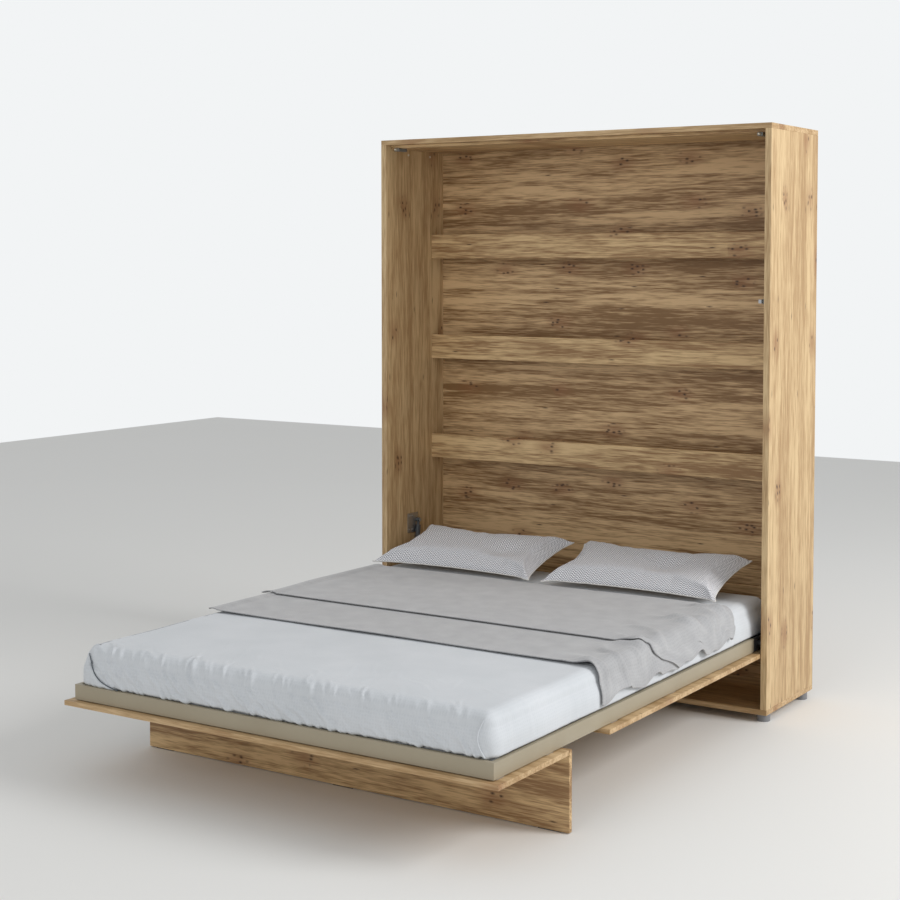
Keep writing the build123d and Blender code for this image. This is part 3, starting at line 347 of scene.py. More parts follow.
def draped_block(xs, ys, edge, top, drops, insets):
    """A grid over a block with rounded corners, and rows that go down its sides from the rim.

    Returns the points, the faces, and where each point lay in the flat cloth."""
    a, b = xs[-1], ys[-1]
    corner = CORNER
    gx, gy = np.meshgrid(xs, ys, indexing="ij")
    sx, sy = np.sign(gx), np.sign(gy)
    u = np.clip((np.abs(gx) - (a - corner)) / corner, 0, 1)
    v = np.clip((np.abs(gy) - (b - corner)) / corner, 0, 1)
    reach = np.hypot(u, v)
    both = (u > 0) & (v > 0)
    pull = np.where(both, np.maximum(u, v) / np.maximum(reach, 1e-9), 1.0)
    px = np.where(both, sx * (a - corner + corner * u * pull), gx)
    py = np.where(both, sy * (b - corner + corner * v * pull), gy)
    to_rim = np.where(both, corner * (1 - np.maximum(u, v)), np.minimum(a - np.abs(gx), b - np.abs(gy)))
    near = np.clip(to_rim, 0, edge)
    crown = CROWN * (1 - (gx / a) ** 4) * (1 - (gy / b) ** 4)
    pz = top - edge + np.sqrt(np.maximum(edge**2 - (edge - near) ** 2, 0)) + crown
    points = [np.stack([px, py, pz], -1).reshape(-1, 3)]
    flat = [np.stack([gx, gy], -1).reshape(-1, 2)]
    n, m = len(xs), len(ys)
    index = np.arange(n * m).reshape(n, m)
    faces = [
        np.stack([index[:-1, :-1], index[1:, :-1], index[1:, 1:], index[:-1, 1:]], -1).reshape(-1, 4)
    ]
    ring = np.concatenate([index[:-1, 0], index[-1, :-1], index[:0:-1, -1], index[0, :0:-1]])
    rim, rim_flat = points[0][ring], flat[0][ring]
    across = np.clip(np.abs(rim[:, 0]) - (a - corner), 0, corner) * np.sign(rim[:, 0])
    along = np.clip(np.abs(rim[:, 1]) - (b - corner), 0, corner) * np.sign(rim[:, 1])
    outward = np.stack([across, along], -1)
    outward /= np.maximum(np.linalg.norm(outward, axis=1, keepdims=True), 1e-9)
    above = ring
    for level, (drop, inset) in enumerate(zip(drops, insets)):
        row = rim.copy()
        row[:, :2] -= outward * inset
        row[:, 2] = top - edge - drop
        points.append(row)
        flat.append(rim_flat + outward * drop)
        below = n * m + level * len(ring) + np.arange(len(ring))
        faces.append(np.stack([above, below, np.roll(below, -1), np.roll(above, -1)], -1))
        above = below
    return np.concatenate(points), np.concatenate(faces), np.concatenate(flat)


def piece(name, points, faces, material, flat=None):
    """A smooth mesh object at the origin, with its place in its points and the cloth's own map."""
    mesh = bpy.data.meshes.new(name)
    mesh.from_pydata(points.tolist(), [], faces.tolist())
    mesh.materials.append(material)
    mesh.polygons.foreach_set("use_smooth", [True] * len(mesh.polygons))
    if flat is not None:
        corners = np.zeros(len(mesh.loops), np.int32)
        mesh.loops.foreach_get("vertex_index", corners)
        layer = mesh.uv_layers.new(name="cloth")
        layer.data.foreach_set("uv", flat[corners].astype(np.float32).ravel())
    made = bpy.data.objects.new(name, mesh)
    bpy.context.scene.collection.objects.link(made)
    return made


def fabric(name, light, dark, thread_mm, relief, drift, **values):
    """Plain-woven cloth: two crossed sets of threads on the cloth's own map, with a soft drift."""
    material, tree, shader = surface(name, **values)
    cloth = add(tree, "ShaderNodeUVMap", uv_map="cloth").outputs[0]
    turns = 1000 / thread_mm / math.pi / 2
    waves = [
        add(
            tree,
            "ShaderNodeTexWave",
            {"Vector": cloth, "Scale": turns, "Distortion": 3.0, "Detail": 2.0, "Detail Scale": 2.0},
            bands_direction=direction,
        ).outputs["Fac"]
        for direction in ("X", "Y")
    ]
    weave = add(tree, "ShaderNodeMath", {0: waves[0], 1: waves[1]}, operation="MAXIMUM").outputs[0]
    cloud = add(tree, "ShaderNodeTexNoise", {"Vector": cloth, "Scale": drift, "Detail": 5.0}).outputs[0]
    both = add(tree, "ShaderNodeMath", {0: weave, 1: 0.25, 2: cloud}, operation="MULTIPLY_ADD").outputs[0]
    share = add(
        tree, "ShaderNodeMapRange", {"Value": both, "From Min": 0.35, "From Max": 0.95}
    ).outputs[0]
    colour = add(
        tree, "ShaderNodeMix", {0: share, 6: linear(dark), 7: linear(light)}, data_type="RGBA"
    ).outputs[2]
    tree.links.new(colour, shader.inputs["Base Color"])
    woven = add(tree, "ShaderNodeBump", {"Height": weave, "Strength": relief, "Distance": 0.0006})
    tree.links.new(woven.outputs[0], shader.inputs["Normal"])
    return material


ticking = fabric(
    "knitted ticking", "#ECECEA", "#DADAD8", KNIT_MM, 0.5, 9.0, Roughness=0.85, Sheen_Weight=0.15
)
shrink = np.array([1 - SHEET_CLEAR / half_x, 1 - SHEET_CLEAR / half_y])
core_xs = spaced(half_x, 0.0, CORE_STEP, CORE_STEP) * shrink[0]
core_ys = spaced(half_y, 0.0, CORE_STEP, CORE_STEP) * shrink[1]
side_drop = sheet_high.z - SHEET_CLEAR - CROWN - TOP_EDGE - block_low.z
turn = np.linspace(0, math.pi / 2, 6)
core_drops = np.concatenate(
    [np.linspace(0.01, side_drop - LOW_EDGE, 9), side_drop - LOW_EDGE + LOW_EDGE * np.sin(turn[1:])]
)
core_insets = np.concatenate([np.zeros(9), LOW_EDGE * (1 - np.cos(turn[1:]))])
core_points, core_faces, core_flat = draped_block(
    core_xs, core_ys, TOP_EDGE, sheet_high.z - SHEET_CLEAR - CROWN, core_drops, core_insets
)
ring_size = 2 * (len(core_xs) + len(core_ys)) - 4
last_ring = np.arange(len(core_points) - ring_size, len(core_points))
core_points[:, 1] += middle_y
block = bpy.data.meshes.new("mattress_block")
block.from_pydata(core_points.tolist(), [], core_faces.tolist() + [last_ring[::-1].tolist()])
block.materials.append(ticking)
block.polygons.foreach_set("use_smooth", [True] * len(core_faces) + [False])
block_corners = np.zeros(len(block.loops), np.int32)
block.loops.foreach_get("vertex_index", block_corners)
block_map = block.uv_layers.new(name="cloth")
block_map.data.foreach_set("uv", core_flat[block_corners].astype(np.float32).ravel())
mattress_block = bpy.data.objects.new("mattress_block", block)
bpy.context.scene.collection.objects.link(mattress_block)
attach(mattress_block, "bed")
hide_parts("mattress")

# ---- Fitted sheet ----
# Pale cotton percale pulled over the mattress and tucked inside the bed frame. It creases in
# slanting bundles over the foot. A thin grey cord along the fold at one corner is painted shade:
# it stands for the dark shadow line of the fold. A roll of cloth marks the tuck at the other.
BELLY = 0.013  # the block swells this far over the frame
BELLY_TURN = 0.01
SIDE_ROWS = 18
HEM_ABOVE = 0.004
FOOT_ZONE = 0.2
THREAD_MM = 5.0  # percale has threads of 0.3 mm, drawn as a coarse grain that shows
FLAP_RISE, FLAP_GROOVE, TUCK_RISE = 0.0055, 0.004, 0.005
RELIEF_LOW, RELIEF_HIGH = -0.003, 0.007
foot_t = -half_y


def crease(s, t, start, angle, reach, bow, width, rise):
    """The height of one bent crease in the flat cloth: a rounded ridge with a hollow beside it."""
    along = (s - start[0]) * math.cos(angle) + (t - start[1]) * math.sin(angle)
    across = (t - start[1]) * math.cos(angle) - (s - start[0]) * math.sin(angle) - bow * along**2
    fade = np.clip(1 - (along / reach) ** 2, 0, 1) ** 1.5
    ridge = np.exp(-((across / width) ** 2)) - 0.6 * np.exp(-(((across - 1.7 * width) / width) ** 2))
    return rise * fade * ridge


def sheet_relief(s, t):
    """Every crease of the fitted sheet, as heights over the flat cloth."""
    random = np.random.default_rng(11)
    height = 0.0012 * np.sin(9 * s + 3 * np.sin(4 * t)) * np.sin(7 * t)
    for cluster in np.arange(-0.76, 0.78, 0.05):
        lively = 1.0 if cluster < 0.3 else 0.7
        lean = random.uniform(34, 62)
        for _ in range(8):
            start = (cluster + random.normal(0, 0.03), foot_t - random.uniform(-0.03, 0.1))
            angle = -math.radians(lean + random.normal(0, 8))
            reach, width = random.uniform(0.035, 0.1), random.uniform(0.0036, 0.007)
            rise = lively * random.uniform(0.0016, 0.005)
            height += crease(s, t, start, angle, reach, random.uniform(-5, 5), width, rise)
    for _ in range(34):
        start = (random.uniform(-0.75, 0.75), foot_t + random.uniform(0.03, 0.35))
        angle = -math.radians(random.uniform(10, 80))
        reach, width = random.uniform(0.05, 0.12), random.uniform(0.007, 0.012)
        height += crease(s, t, start, angle, reach, random.uniform(-3, 3), width, 0.0008)
    for y in np.arange(-0.9, 0.9, 0.075):
        start = (half_x + random.uniform(0.0, 0.05), y + random.normal(0, 0.02))
        angle = math.radians(random.uniform(-14, 14))
        height += crease(s, t, start, angle, 0.08, 0.0, random.uniform(0.007, 0.014), 0.002)
    return np.maximum(height, -0.7 * SHEET_CLEAR)


def flap_line(fall):
    """Where the fold at the left foot corner runs, from the top of the side to the frame."""
    return -half_x + 0.086 * fall + 0.09 * fall**10


def tuck_line(fall):
    """Where the tuck at the right foot corner runs."""
    return half_x - 0.012 - 0.028 * np.sin(fall * math.pi)


def corner_folds(points):
    """The square fold at the left foot corner, a flap that swells out, and the right tuck."""
    x, down = points[:, 0], sheet_high.z - points[:, 2]
    on_foot = 1 / (1 + np.exp((points[:, 1] - middle_y + half_y - 0.012) / 0.004))
    fall = np.clip(down / side_depth, 0, 1)
    left_half = on_foot * (x < 0)
    past_flap = x - flap_line(fall)
    flap = FLAP_RISE / (1 + np.exp(past_flap / 0.0018)) * left_half
    groove = -FLAP_GROOVE * np.exp(-(((past_flap - 0.005) / 0.0045) ** 2)) * left_half
    tuck = TUCK_RISE * np.exp(-(((x - tuck_line(fall)) / 0.0045) ** 2)) * on_foot
    return flap + groove + tuck


def percale():
    """Pale cool cotton with a fine plain weave and little sheen."""
    return fabric(
        "cotton percale", "#D3D6DA", "#C6CACE", THREAD_MM, 0.2, 5.0, Roughness=0.88, Sheen_Weight=0.2
    )


def belly_at(drop):
    """How far the side stands out at a depth below the rounded edge."""
    return BELLY * np.sin(np.clip(drop / 0.05, 0, 1) * math.pi / 2)


rail_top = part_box("frame_rail_right")[1].z
sheet_xs = spaced(half_x, 0.0, 0.0048, 0.0048)
sheet_ys = spaced(half_y, FOOT_ZONE, 0.016, 0.0045)
edge_z = sheet_high.z - CROWN - TOP_EDGE
side_depth = sheet_high.z - rail_top
to_rail = edge_z - rail_top - 0.003
to_hem = edge_z - sheet_low.z - HEM_ABOVE
swell_drops = np.linspace(0.004, to_rail - BELLY_TURN, SIDE_ROWS)
sheet_drops = np.concatenate(
    [
        swell_drops,
        to_rail - BELLY_TURN + BELLY_TURN * np.sin(turn[1:]),
        [to_rail + 0.001, to_rail + 0.006, to_hem],
    ]
)
sheet_insets = np.concatenate(
    [-belly_at(swell_drops), BELLY_TURN * (1 - np.cos(turn[1:])) - BELLY, [0.002, 0.004, 0.004]]
)
sheet_points, sheet_faces, sheet_flat = draped_block(
    sheet_xs, sheet_ys, TOP_EDGE, sheet_high.z - CROWN, sheet_drops, sheet_insets
)
sheet_points[:, 1] += middle_y
bed_sheet = piece("bed_sheet", sheet_points, sheet_faces, percale(), sheet_flat)
normals = np.zeros(len(sheet_points) * 3, np.float32)
bed_sheet.data.vertices.foreach_get("normal", normals)
relief = sheet_relief(sheet_flat[:, 0], sheet_flat[:, 1]) + corner_folds(sheet_points)
relief = np.where(
    sheet_points[:, 2] < rail_top + 0.002, 0, np.clip(relief, RELIEF_LOW, RELIEF_HIGH)
)
sheet_points += normals.reshape(-1, 3) * relief[:, None]
bed_sheet.data.vertices.foreach_set("co", sheet_points.astype(np.float32).ravel())
bed_sheet.data.update()
sheet_skirt = TOP_EDGE * (math.pi / 2 - 1)
sheet_skirt += np.hypot(np.diff(sheet_drops, prepend=0), np.diff(sheet_insets, prepend=0)).sum()
WELT_STEP = 0.008


def welt(name, line, radius, material, closed=True):
    """A cord made along the line of its points: a welt sewn into a seam, or a cord laid along a fold."""
    tree = bpy.data.node_groups.new(name + " tree", "GeometryNodeTree")
    for way, kind, label in (
        ("INPUT", "NodeSocketGeometry", "Geometry"),
        ("INPUT", "NodeSocketFloat", "Radius"),
        ("INPUT", "NodeSocketFloat", "Spacing"),
        ("OUTPUT", "NodeSocketGeometry", "Geometry"),
    ):
        tree.interface.new_socket(label, in_out=way, socket_type=kind)
    given = add(tree, "NodeGroupInput")
    path = add(tree, "GeometryNodeMeshToCurve", {"Mesh": given.outputs["Geometry"]})
    even = add(
        tree,
        "GeometryNodeResampleCurve",
        {"Curve": path.outputs[0], "Length": given.outputs["Spacing"]},
        mode="LENGTH",
    )
    ring = add(
        tree, "GeometryNodeCurvePrimitiveCircle", {"Resolution": 8, "Radius": given.outputs["Radius"]}
    )
    tube = add(
        tree,
        "GeometryNodeCurveToMesh",
        {"Curve": even.outputs[0], "Profile Curve": ring.outputs[0], "Fill Caps": True},
    )
    real = add(tree, "GeometryNodeRealizeInstances", {"Geometry": tube.outputs[0]})
    painted = add(tree, "GeometryNodeSetMaterial", {"Geometry": real.outputs[0], "Material": material})
    add(tree, "NodeGroupOutput", {"Geometry": painted.outputs[0]})
    mesh = bpy.data.meshes.new(name)
    count = len(line)
    edges = [(i, (i + 1) % count) for i in range(count if closed else count - 1)]
    mesh.from_pydata(line.tolist(), edges, [])
    made = bpy.data.objects.new(name, mesh)
    bpy.context.scene.collection.objects.link(made)
    build = made.modifiers.new("build", "NODES")
    build.node_group = tree
    inputs = [item for item in tree.interface.items_tree if item.in_out == "INPUT"]
    sockets = {item.name: item.identifier for item in inputs}
    build[sockets["Radius"]] = radius
    build[sockets["Spacing"]] = WELT_STEP
    bpy.context.view_layer.update()
    shown = made.evaluated_get(bpy.context.evaluated_depsgraph_get())
    done = bpy.data.meshes.new_from_object(shown)
    made.modifiers.remove(build)
    made.data = done
    done.polygons.foreach_set("use_smooth", [True] * len(done.polygons))
    return made


def fold_line(name, x_of, start, end, stand_off, radius, material):
    """The edge of a fold on the foot face, from near the top of the side down to the frame."""
    fall = np.linspace(start, end, 40)
    z = sheet_high.z - fall * side_depth
    depth = np.clip(edge_z - z, 0, None)
    rise = np.clip((z - edge_z) / TOP_EDGE, 0, 1)
    x = x_of(fall)
    bend = CORNER + belly_at(depth) - TOP_EDGE * (1 - np.sqrt(1 - rise**2)) + stand_off
    beyond = np.clip(np.abs(x) - half_x + CORNER, 0, bend)
    y = middle_y - half_y + CORNER - np.sqrt(bend**2 - beyond**2)
    return welt(name, np.stack([x, y, z], -1), radius, material, closed=False)


# The left cord's grey is painted shade: a dark cord laid where the fold casts its thin shadow line.
fold_shadow_cord = fabric("grey cord of painted fold shadow", "#6A7077", "#565C62", 2.0, 0.2, 20.0, Roughness=0.9)
left_fold = fold_line(
    "sheet_fold_left",
    lambda fall: flap_line(fall) + 0.006,
    0.22,
    0.985,
    0.0035,
    0.0018,
    fold_shadow_cord,
)
right_fold = fold_line(
    "sheet_fold_right",
    tuck_line,
    0.2,
    0.96,
    0.004,
    0.0028,
    bed_sheet.data.materials[0],
)
for fold_edge in (left_fold, right_fold):
    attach(fold_edge, "bed")
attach(bed_sheet, "bed")
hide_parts("fitted_sheet")

# ---- Throw ----
# A mid-grey felted wool blanket laid across the bed and doubled back on itself, so that the upper
# layer starts further from the foot. It ends at the left edge and hangs over the right one, where
# it puckers down to the frame.
WOOL_THICK = 0.0034
UPPER_START = 0.34
FOLD_R = 0.0025
LEFT_OVER = 0.085
# Inside the cabinet's sides, but the throw still meets the left gas spring when the bed is up.
LEFT_LIMIT = -0.845
LAY_LIFT = 0.0025
HEM_SLANT = 0.22
SOFT_WAVE, RIPPLE_RISE, FLARE_RISE, PUCKER_RISE = 0.0014, 0.017, 0.034, 0.009
PUCKERS = 26
WOOL_MM = 6.0
throw_low, throw_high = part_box("throw")
side_line = half_x - TOP_EDGE
hang = sheet_high.z - TOP_EDGE - rail_top - 0.006


def over_side(p, lift):
    """Where cloth at distance p from the middle lies, and how far down the side it hangs."""
    radius = TOP_EDGE + lift
    beyond = np.clip(np.abs(p) - side_line, 0, None)
    angle = np.clip(beyond / radius, 0, math.pi / 2)
    below = np.clip(beyond - radius * math.pi / 2, 0, None)
    out = radius * np.sin(angle) + belly_at(below)
    x = np.where(beyond > 0, side_line + out, np.abs(p)) * np.sign(p)
    z = sheet_high.z - TOP_EDGE + radius * np.cos(angle) - below
    return x, z, below


def wool():
    """Felted wool: soft, mid grey, with a short nap that catches light at the edges."""
    return fabric(
        "felted wool", "#B2B2B3", "#9C9C9E", WOOL_MM, 0.3, 14.0, Roughness=0.95, Sheen_Weight=0.35
    )


throw_length = throw_high.y - throw_low.y
upper_length = throw_length - UPPER_START
fold_length = math.pi * FOLD_R
rows = np.concatenate(
    [
        np.linspace(0, throw_length, 118),
        throw_length + np.linspace(0, fold_length, 8)[1:],
        throw_length + fold_length + np.linspace(0, upper_length, 92)[1:],
    ]
)
right_over = TOP_EDGE * math.pi / 2 + hang
columns = np.concatenate(
    [
        np.linspace(-side_line - LEFT_OVER, -side_line, 12)[:-1],
        np.linspace(-side_line, side_line, 130)[:-1],
        np.linspace(side_line, side_line + right_over, 28),
    ]
)
across, along = np.meshgrid(columns, rows, indexing="ij")
on_fold = np.clip((along - throw_length) / FOLD_R, 0, math.pi)
upper = np.clip(along - throw_length - fold_length, 0, None)
base_lift = LAY_LIFT + FOLD_R * (1 - np.cos(on_fold))
_, _, drop = over_side(across, base_lift)
edge_share = np.clip((across - side_line) / TOP_EDGE, 0, 1)
down_share = np.clip(drop / hang, 0, 1) * (across > 0)
slant = np.where(upper > 0, HEM_SLANT * (0.8 * down_share + 0.2 * edge_share), 0.0)
lower_y = throw_low.y + np.minimum(along, throw_length)
upper_y = throw_high.y - upper * (1 - slant / upper_length)
throw_y = np.where(upper > 0, upper_y, lower_y + FOLD_R * np.sin(on_fold))
throw_y -= 0.07 * down_share * np.clip((throw_y - throw_low.y) / throw_length, 0, 1) ** 3
left_share = np.clip((-across - side_line) / LEFT_OVER, 0, 1)
throw_y += np.where(along < 0.2, 0.04 * left_share**3 * (1 - along / 0.2), 0)
covered = np.clip((along - UPPER_START - 0.2) / 0.1, 0, 1) * (along < throw_length)
hem_wave = 0.05 * np.sin(23 * throw_y + 0.6) + 0.03 * np.sin(51 * throw_y)
reach_down = np.clip(across - side_line, 0, None) * (1 - 0.22 * covered + hem_wave - 0.03)
draped = np.where(across > side_line, side_line + reach_down, across)
ripple = (
    0.5
    + 0.32 * np.sin(31 * throw_y + 1.2 * np.sin(9 * throw_y))
    + 0.18 * np.sin(57 * throw_y + 2.0)
)
soft_wave = SOFT_WAVE * np.sin(7.5 * across + 2.2 * np.sin(5 * throw_y)) * np.sin(6.5 * throw_y + 0.8)
lift = base_lift + SOFT_WAVE + soft_wave + RIPPLE_RISE * ripple * down_share
lift += FLARE_RISE * left_share
lift += 0.004 * np.exp(-along / 0.014) * (upper <= 0) * (1 - left_share)
lift += 0.0035 * np.exp(-(upper_length - upper) / 0.014) * (upper > 0)
pucker = np.random.default_rng(5)
for _ in range(PUCKERS):
    start = (side_line + pucker.uniform(-0.07, 0.07), pucker.uniform(throw_low.y, throw_high.y))
    angle = math.radians(pucker.uniform(-50, 50))
    width, reach = pucker.uniform(0.012, 0.026), pucker.uniform(0.06, 0.15)
    bow = pucker.uniform(-4, 4)
    fold = crease(across, throw_y, start, angle, reach, bow, width, PUCKER_RISE)
    lift += np.clip(fold, -0.001, None)
throw_x, throw_z, _ = over_side(draped, lift)
throw_x = np.maximum(throw_x, LEFT_LIMIT)
n_across, n_along = across.shape
throw_index = np.arange(n_across * n_along).reshape(n_across, n_along)
throw_faces = np.stack(
    [throw_index[:-1, :-1], throw_index[1:, :-1], throw_index[1:, 1:], throw_index[:-1, 1:]], -1
).reshape(-1, 4)
bed_throw = piece(
    "bed_throw",
    np.stack([throw_x, throw_y, throw_z], -1).reshape(-1, 3),
    throw_faces,
    wool(),
    np.stack([across, along], -1).reshape(-1, 2),
)
thickness = bed_throw.modifiers.new("thickness", "SOLIDIFY")
thickness.thickness = WOOL_THICK
thickness.offset = 0.0
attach(bed_throw, "bed")
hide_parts("throw")

# ---- Pillows ----
# Two pillows of about 75 x 40 cm in white cotton, printed on top with a small dark herringbone and plain
# behind. The cases are sewn round a welted seam and filled with fibre, which pulls the sides in
# and leaves pointed corners.
PILLOW_FILL_CAP = 0.028  # nine points in ten reach this, so it sets how full a case is
PILLOW_HALF_DEEP, PILLOW_PLUMP = 0.2, 0.045
EDGE_CLOSE = 0.94  # how closely a case's rows crowd towards its seam
HERRING_MM = 10.0  # the printed strokes are about 3 mm apart, drawn wider so that they show
HERRING_COLUMN_MM = 14.0
WELT_R = 0.0024


def herringbone(name, ground, ink):
    """Printed cotton: short slanting strokes that turn at each column of the herringbone."""
    material, tree, shader = surface(name, Roughness=0.86, Sheen_Weight=0.2)
    cloth = add(tree, "ShaderNodeUVMap", uv_map="cloth").outputs[0]
    parts = add(tree, "ShaderNodeSeparateXYZ", {"Vector": cloth})
    column = HERRING_COLUMN_MM / 1000
    zigzag = add(tree, "ShaderNodeMath", {0: parts.outputs[0], 1: column}, operation="PINGPONG").outputs[0]
    slant = add(tree, "ShaderNodeMath", {0: zigzag, 1: parts.outputs[1]}, operation="ADD").outputs[0]
    turns = add(
        tree, "ShaderNodeMath", {0: slant, 1: 2 * math.pi * 1000 / HERRING_MM}, operation="MULTIPLY"
    ).outputs[0]
    wave = add(tree, "ShaderNodeMath", {0: turns}, operation="SINE").outputs[0]
    stroke = add(tree, "ShaderNodeMapRange", {"Value": wave, "From Min": -0.25, "From Max": 0.35}).outputs[0]
    printed = add(
        tree, "ShaderNodeMix", {0: stroke, 6: linear(ink), 7: linear(ground)}, data_type="RGBA"
    ).outputs[2]
    tree.links.new(printed, shader.inputs["Base Color"])
    grain = add(tree, "ShaderNodeTexNoise", {"Vector": cloth, "Scale": 260.0, "Detail": 2.0}).outputs[0]
    woven = add(tree, "ShaderNodeBump", {"Height": grain, "Strength": 0.15, "Distance": 0.0005})
    tree.links.new(woven.outputs[0], shader.inputs["Normal"])
    return material


case_print = herringbone("herringbone cotton", "#FAFAFC", "#8C8C94")
case_plain = fabric("plain cotton back", "#E6E4E0", "#DAD8D4", THREAD_MM, 0.2, 6.0, Roughness=0.88)


def pillow_case(name, half_long, half_deep, plump):
    """Two faces of cotton sewn round the edge: a pattern for the filling to swell."""
    us, vs = (
        np.sin(np.linspace(-1, 1, count) * math.pi / 2 * EDGE_CLOSE) / math.sin(math.pi / 2 * EDGE_CLOSE)
        for count in (79, 43)
    )
    u, v = np.meshgrid(us, vs, indexing="ij")
    bulge = plump * np.sqrt(np.clip(1 - u**4, 0, 1) * np.clip(1 - v**4, 0, 1))
    inward = 1 - 0.075 * (1 - v**2) * np.abs(u) ** 3, 1 - 0.12 * (1 - u**2) * np.abs(v) ** 3
    x, y = half_long * u * inward[0], half_deep * v * inward[1]
    n, m = u.shape
    top = np.arange(n * m).reshape(n, m)
    rim = np.zeros((n, m), bool)
    rim[0, :] = rim[-1, :] = rim[:, 0] = rim[:, -1] = True
    under = top.copy()
    under[~rim] = n * m + np.arange((~rim).sum())
    points = np.vstack(
        [np.stack([x, y, bulge], -1).reshape(-1, 3), np.stack([x, y, -bulge], -1)[~rim]]
    )
    step_u, rise_u = np.diff(us * half_long, prepend=-half_long), np.diff(bulge[:, m // 2], prepend=0)
    step_v, rise_v = np.diff(vs * half_deep, prepend=-half_deep), np.diff(bulge[n // 2], prepend=0)
    run_u, run_v = np.cumsum(np.hypot(step_u, rise_u)), np.cumsum(np.hypot(step_v, rise_v))
    lengths = np.stack(np.meshgrid(run_u, run_v, indexing="ij"), -1)
    flat = np.vstack([lengths.reshape(-1, 2), lengths[~rim]])
    up = np.stack([top[:-1, :-1], top[1:, :-1], top[1:, 1:], top[:-1, 1:]], -1).reshape(-1, 4)
    back = np.stack([under[:-1, :-1], under[:-1, 1:], under[1:, 1:], under[1:, :-1]], -1).reshape(-1, 4)
    made = piece(name, points, np.vstack([up, back]), case_print, flat)
    made.data.materials.append(case_plain)
    made.data.polygons.foreach_set("material_index", [0] * len(up) + [1] * len(back))
    seam = np.concatenate([top[:-1, 0], top[-1, :-1], top[:0:-1, -1], top[0, :0:-1]])
    return made, points, seam


def swell(made, start):
    """Fills a case by blowing up the cloth, but moves each point no further than the cap.

    The simulation gives most points only their direction: the cap gives how far they go."""
    scene = bpy.context.scene
    cloth = made.modifiers.new("filling", "CLOTH")
    settings = cloth.settings
    settings.quality = 6
    settings.mass = 0.3
    settings.use_pressure = True
    settings.uniform_pressure_force = 4.0
    settings.tension_stiffness = settings.compression_stiffness = 15.0
    settings.bending_stiffness = 0.4
    settings.shrink_min = -0.02
    settings.effector_weights.gravity = 0.0
    for step in range(1, 21):
        scene.frame_set(step)
    filled = made.evaluated_get(bpy.context.evaluated_depsgraph_get()).to_mesh()
    points = np.zeros(len(start) * 3, np.float32)
    filled.vertices.foreach_get("co", points)
    made.evaluated_get(bpy.context.evaluated_depsgraph_get()).to_mesh_clear()
    made.modifiers.remove(cloth)
    scene.frame_set(1)
    moved = points.reshape(-1, 3) - start
    moved -= moved.mean(0)
    length = np.linalg.norm(moved, axis=1, keepdims=True)
    return start + moved * np.minimum(1, PILLOW_FILL_CAP / np.maximum(length, 1e-9))


PILLOW_PLACES = {
    "left": {"front": (-0.828, -0.072), "back": (-0.772, -0.052), "hollow": (0.24, -0.1), "seed": 3},
    "right": {"front": (-0.018, 0.728), "back": (0.0, 0.735), "hollow": (0.12, -0.06), "seed": 8},
}
PILLOW_FRONT_Y, PILLOW_BACK_Y = 0.562, 0.9
PILLOW_SEAM_FRONT, PILLOW_SEAM_BACK = 0.4635, 0.566
PILLOW_LOFT = 0.112


def place_pillow(points, place):
    """Lays a filled pillow in its place: low in front, raised at the wall, with a hollow."""
    laid = (points - (points.max(0) + points.min(0)) / 2) / (points.max(0) - points.min(0))
    u, v, w = laid[:, 0] + 0.5, laid[:, 1] + 0.5, laid[:, 2]
    front, back = place["front"], place["back"]
    x = (front[0] + (front[1] - front[0]) * u) * (1 - v) + (back[0] + (back[1] - back[0]) * u) * v
    y = PILLOW_FRONT_Y + (PILLOW_BACK_Y - PILLOW_FRONT_Y) * v
    seam_z = PILLOW_SEAM_FRONT + (PILLOW_SEAM_BACK - PILLOW_SEAM_FRONT) * v**1.15
    z = seam_z + np.where(w > 0, w, 0.3 * w) * PILLOW_LOFT
    hollow = place["hollow"]
    dent = np.exp(-(((laid[:, 0] - hollow[0]) / 0.11) ** 2) - ((laid[:, 1] - hollow[1]) / 0.16) ** 2)
    z -= 0.02 * dent * (w > 0)
    under = np.where(y < throw_high.y + 0.012, throw_high.z + 0.0075, sheet_high.z + 0.003)
    return np.stack([x, y, np.maximum(z, under)], -1)


for side, place in PILLOW_PLACES.items():
    half_long = (place["front"][1] - place["front"][0]) / 2
    case, start, seam = pillow_case(
        "sleeping_pillow_" + side, half_long, PILLOW_HALF_DEEP, PILLOW_PLUMP
    )
    ruck = np.random.default_rng(place["seed"]).normal(0, 0.0008, len(start))
    start = start + np.stack([0 * ruck, 0 * ruck, ruck], -1)
    case.data.vertices.foreach_set("co", start.astype(np.float32).ravel())
    filled = swell(case, start)
    laid = place_pillow(filled, place)
    case.data.vertices.foreach_set("co", laid.astype(np.float32).ravel())
    case.data.update()
    finer = case.modifiers.new("finer", "SUBSURF")
    finer.levels = finer.render_levels = 1
    edging = welt("pillow_welt_" + side, laid[seam], WELT_R, case_plain)
    for made in (case, edging):
        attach(made, "bed")
    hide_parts("pillow_" + side)

# ---- Floor, light and camera ----
# A plain pale floor. A large soft light stands to the right of the cabinet, level with its front,
# so that the inside falls into shade, with a weaker one straight in front of the bed. The backdrop
# is paler than the light it gives, so that it looks white.
FLOOR_HALF = 9.0

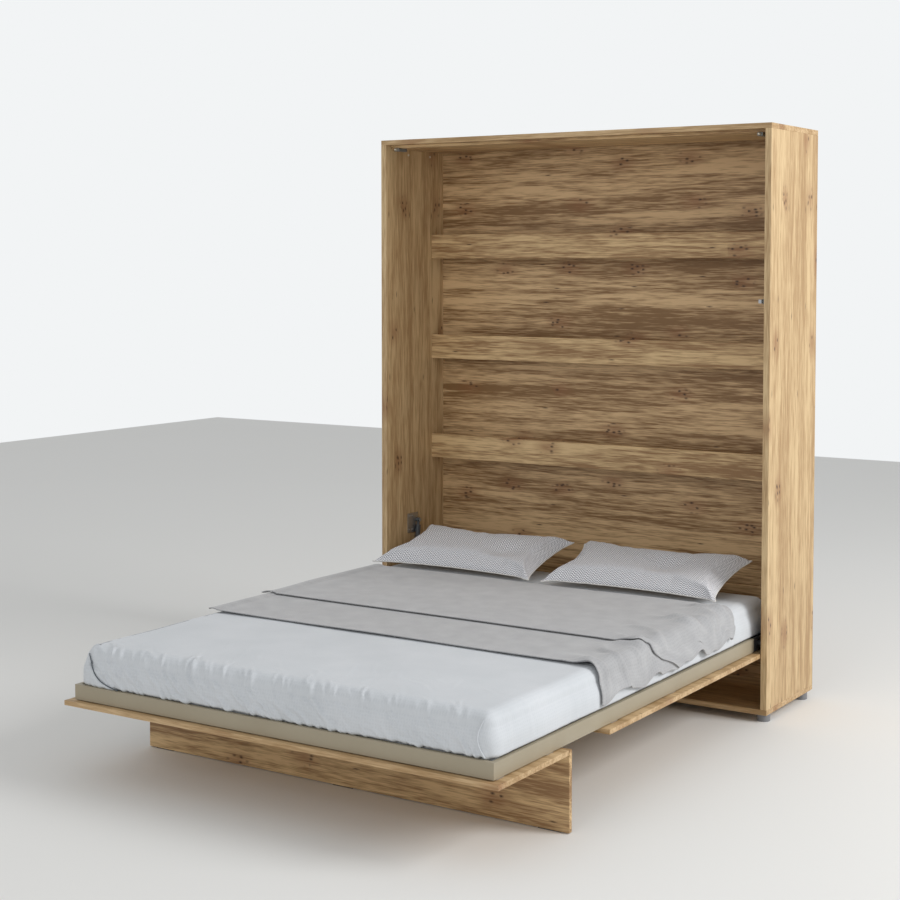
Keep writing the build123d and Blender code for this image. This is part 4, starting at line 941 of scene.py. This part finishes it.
floor_paint, floor_tree, floor_shader = surface("pale matt floor", Roughness=0.8)
speckle = add(floor_tree, "ShaderNodeTexNoise", {"Scale": 3.0, "Detail": 4.0}).outputs[0]
floor_colour = add(
    floor_tree,
    "ShaderNodeMix",
    {0: speckle, 6: linear("#E6E5E2"), 7: linear("#EBEAE8")},
    data_type="RGBA",
).outputs[2]
floor_tree.links.new(floor_colour, floor_shader.inputs["Base Color"])
floor_points = np.array([[x, y, 0.0] for x, y in ((-1, -1), (1, -1), (1, 1), (-1, 1))]) * FLOOR_HALF
floor = piece("floor", floor_points, np.array([[0, 1, 2, 3]]), floor_paint)


def lamp(name, place, aim, size, power):
    """A square soft light that faces a point."""
    light = bpy.data.lights.new(name, "AREA")
    light.size = size
    light.energy = power
    made = bpy.data.objects.new(name, light)
    bpy.context.scene.collection.objects.link(made)
    made.location = place
    made.rotation_mode = "QUATERNION"
    made.rotation_quaternion = (Vector(aim) - Vector(place)).to_track_quat("-Z", "Y")


lamp("window light", (6.0, 1.3, 4.0), (0.0, 0.0, 0.7), 2.6, 265)
lamp("room light", (0.5, -6.5, 3.6), (0.0, 0.2, 0.9), 3.0, 55)
sky = bpy.data.worlds.new("studio")
sky.use_nodes = True
backdrop = sky.node_tree.nodes["Background"]
backdrop.inputs["Color"].default_value = linear("#F2F4F5")
seen = add(sky.node_tree, "ShaderNodeLightPath").outputs["Is Camera Ray"]
brightness = add(sky.node_tree, "ShaderNodeMapRange", {"Value": seen, "To Min": 0.66, "To Max": 1.0})
sky.node_tree.links.new(brightness.outputs[0], backdrop.inputs["Strength"])
scene = bpy.context.scene
scene.world = sky
scene.view_settings.view_transform = "Standard"

lens = bpy.data.cameras.new("camera")
lens.lens = 67.258
lens.sensor_width = 36.0
lens.shift_x = -0.01206
lens.shift_y = -0.114
camera = bpy.data.objects.new("camera", lens)
scene.collection.objects.link(camera)
camera.location = (3.2605, -5.1178, 1.7202)
camera.rotation_euler = (math.radians(90 - 2.936), 0.0, math.radians(32.710))
scene.camera = camera
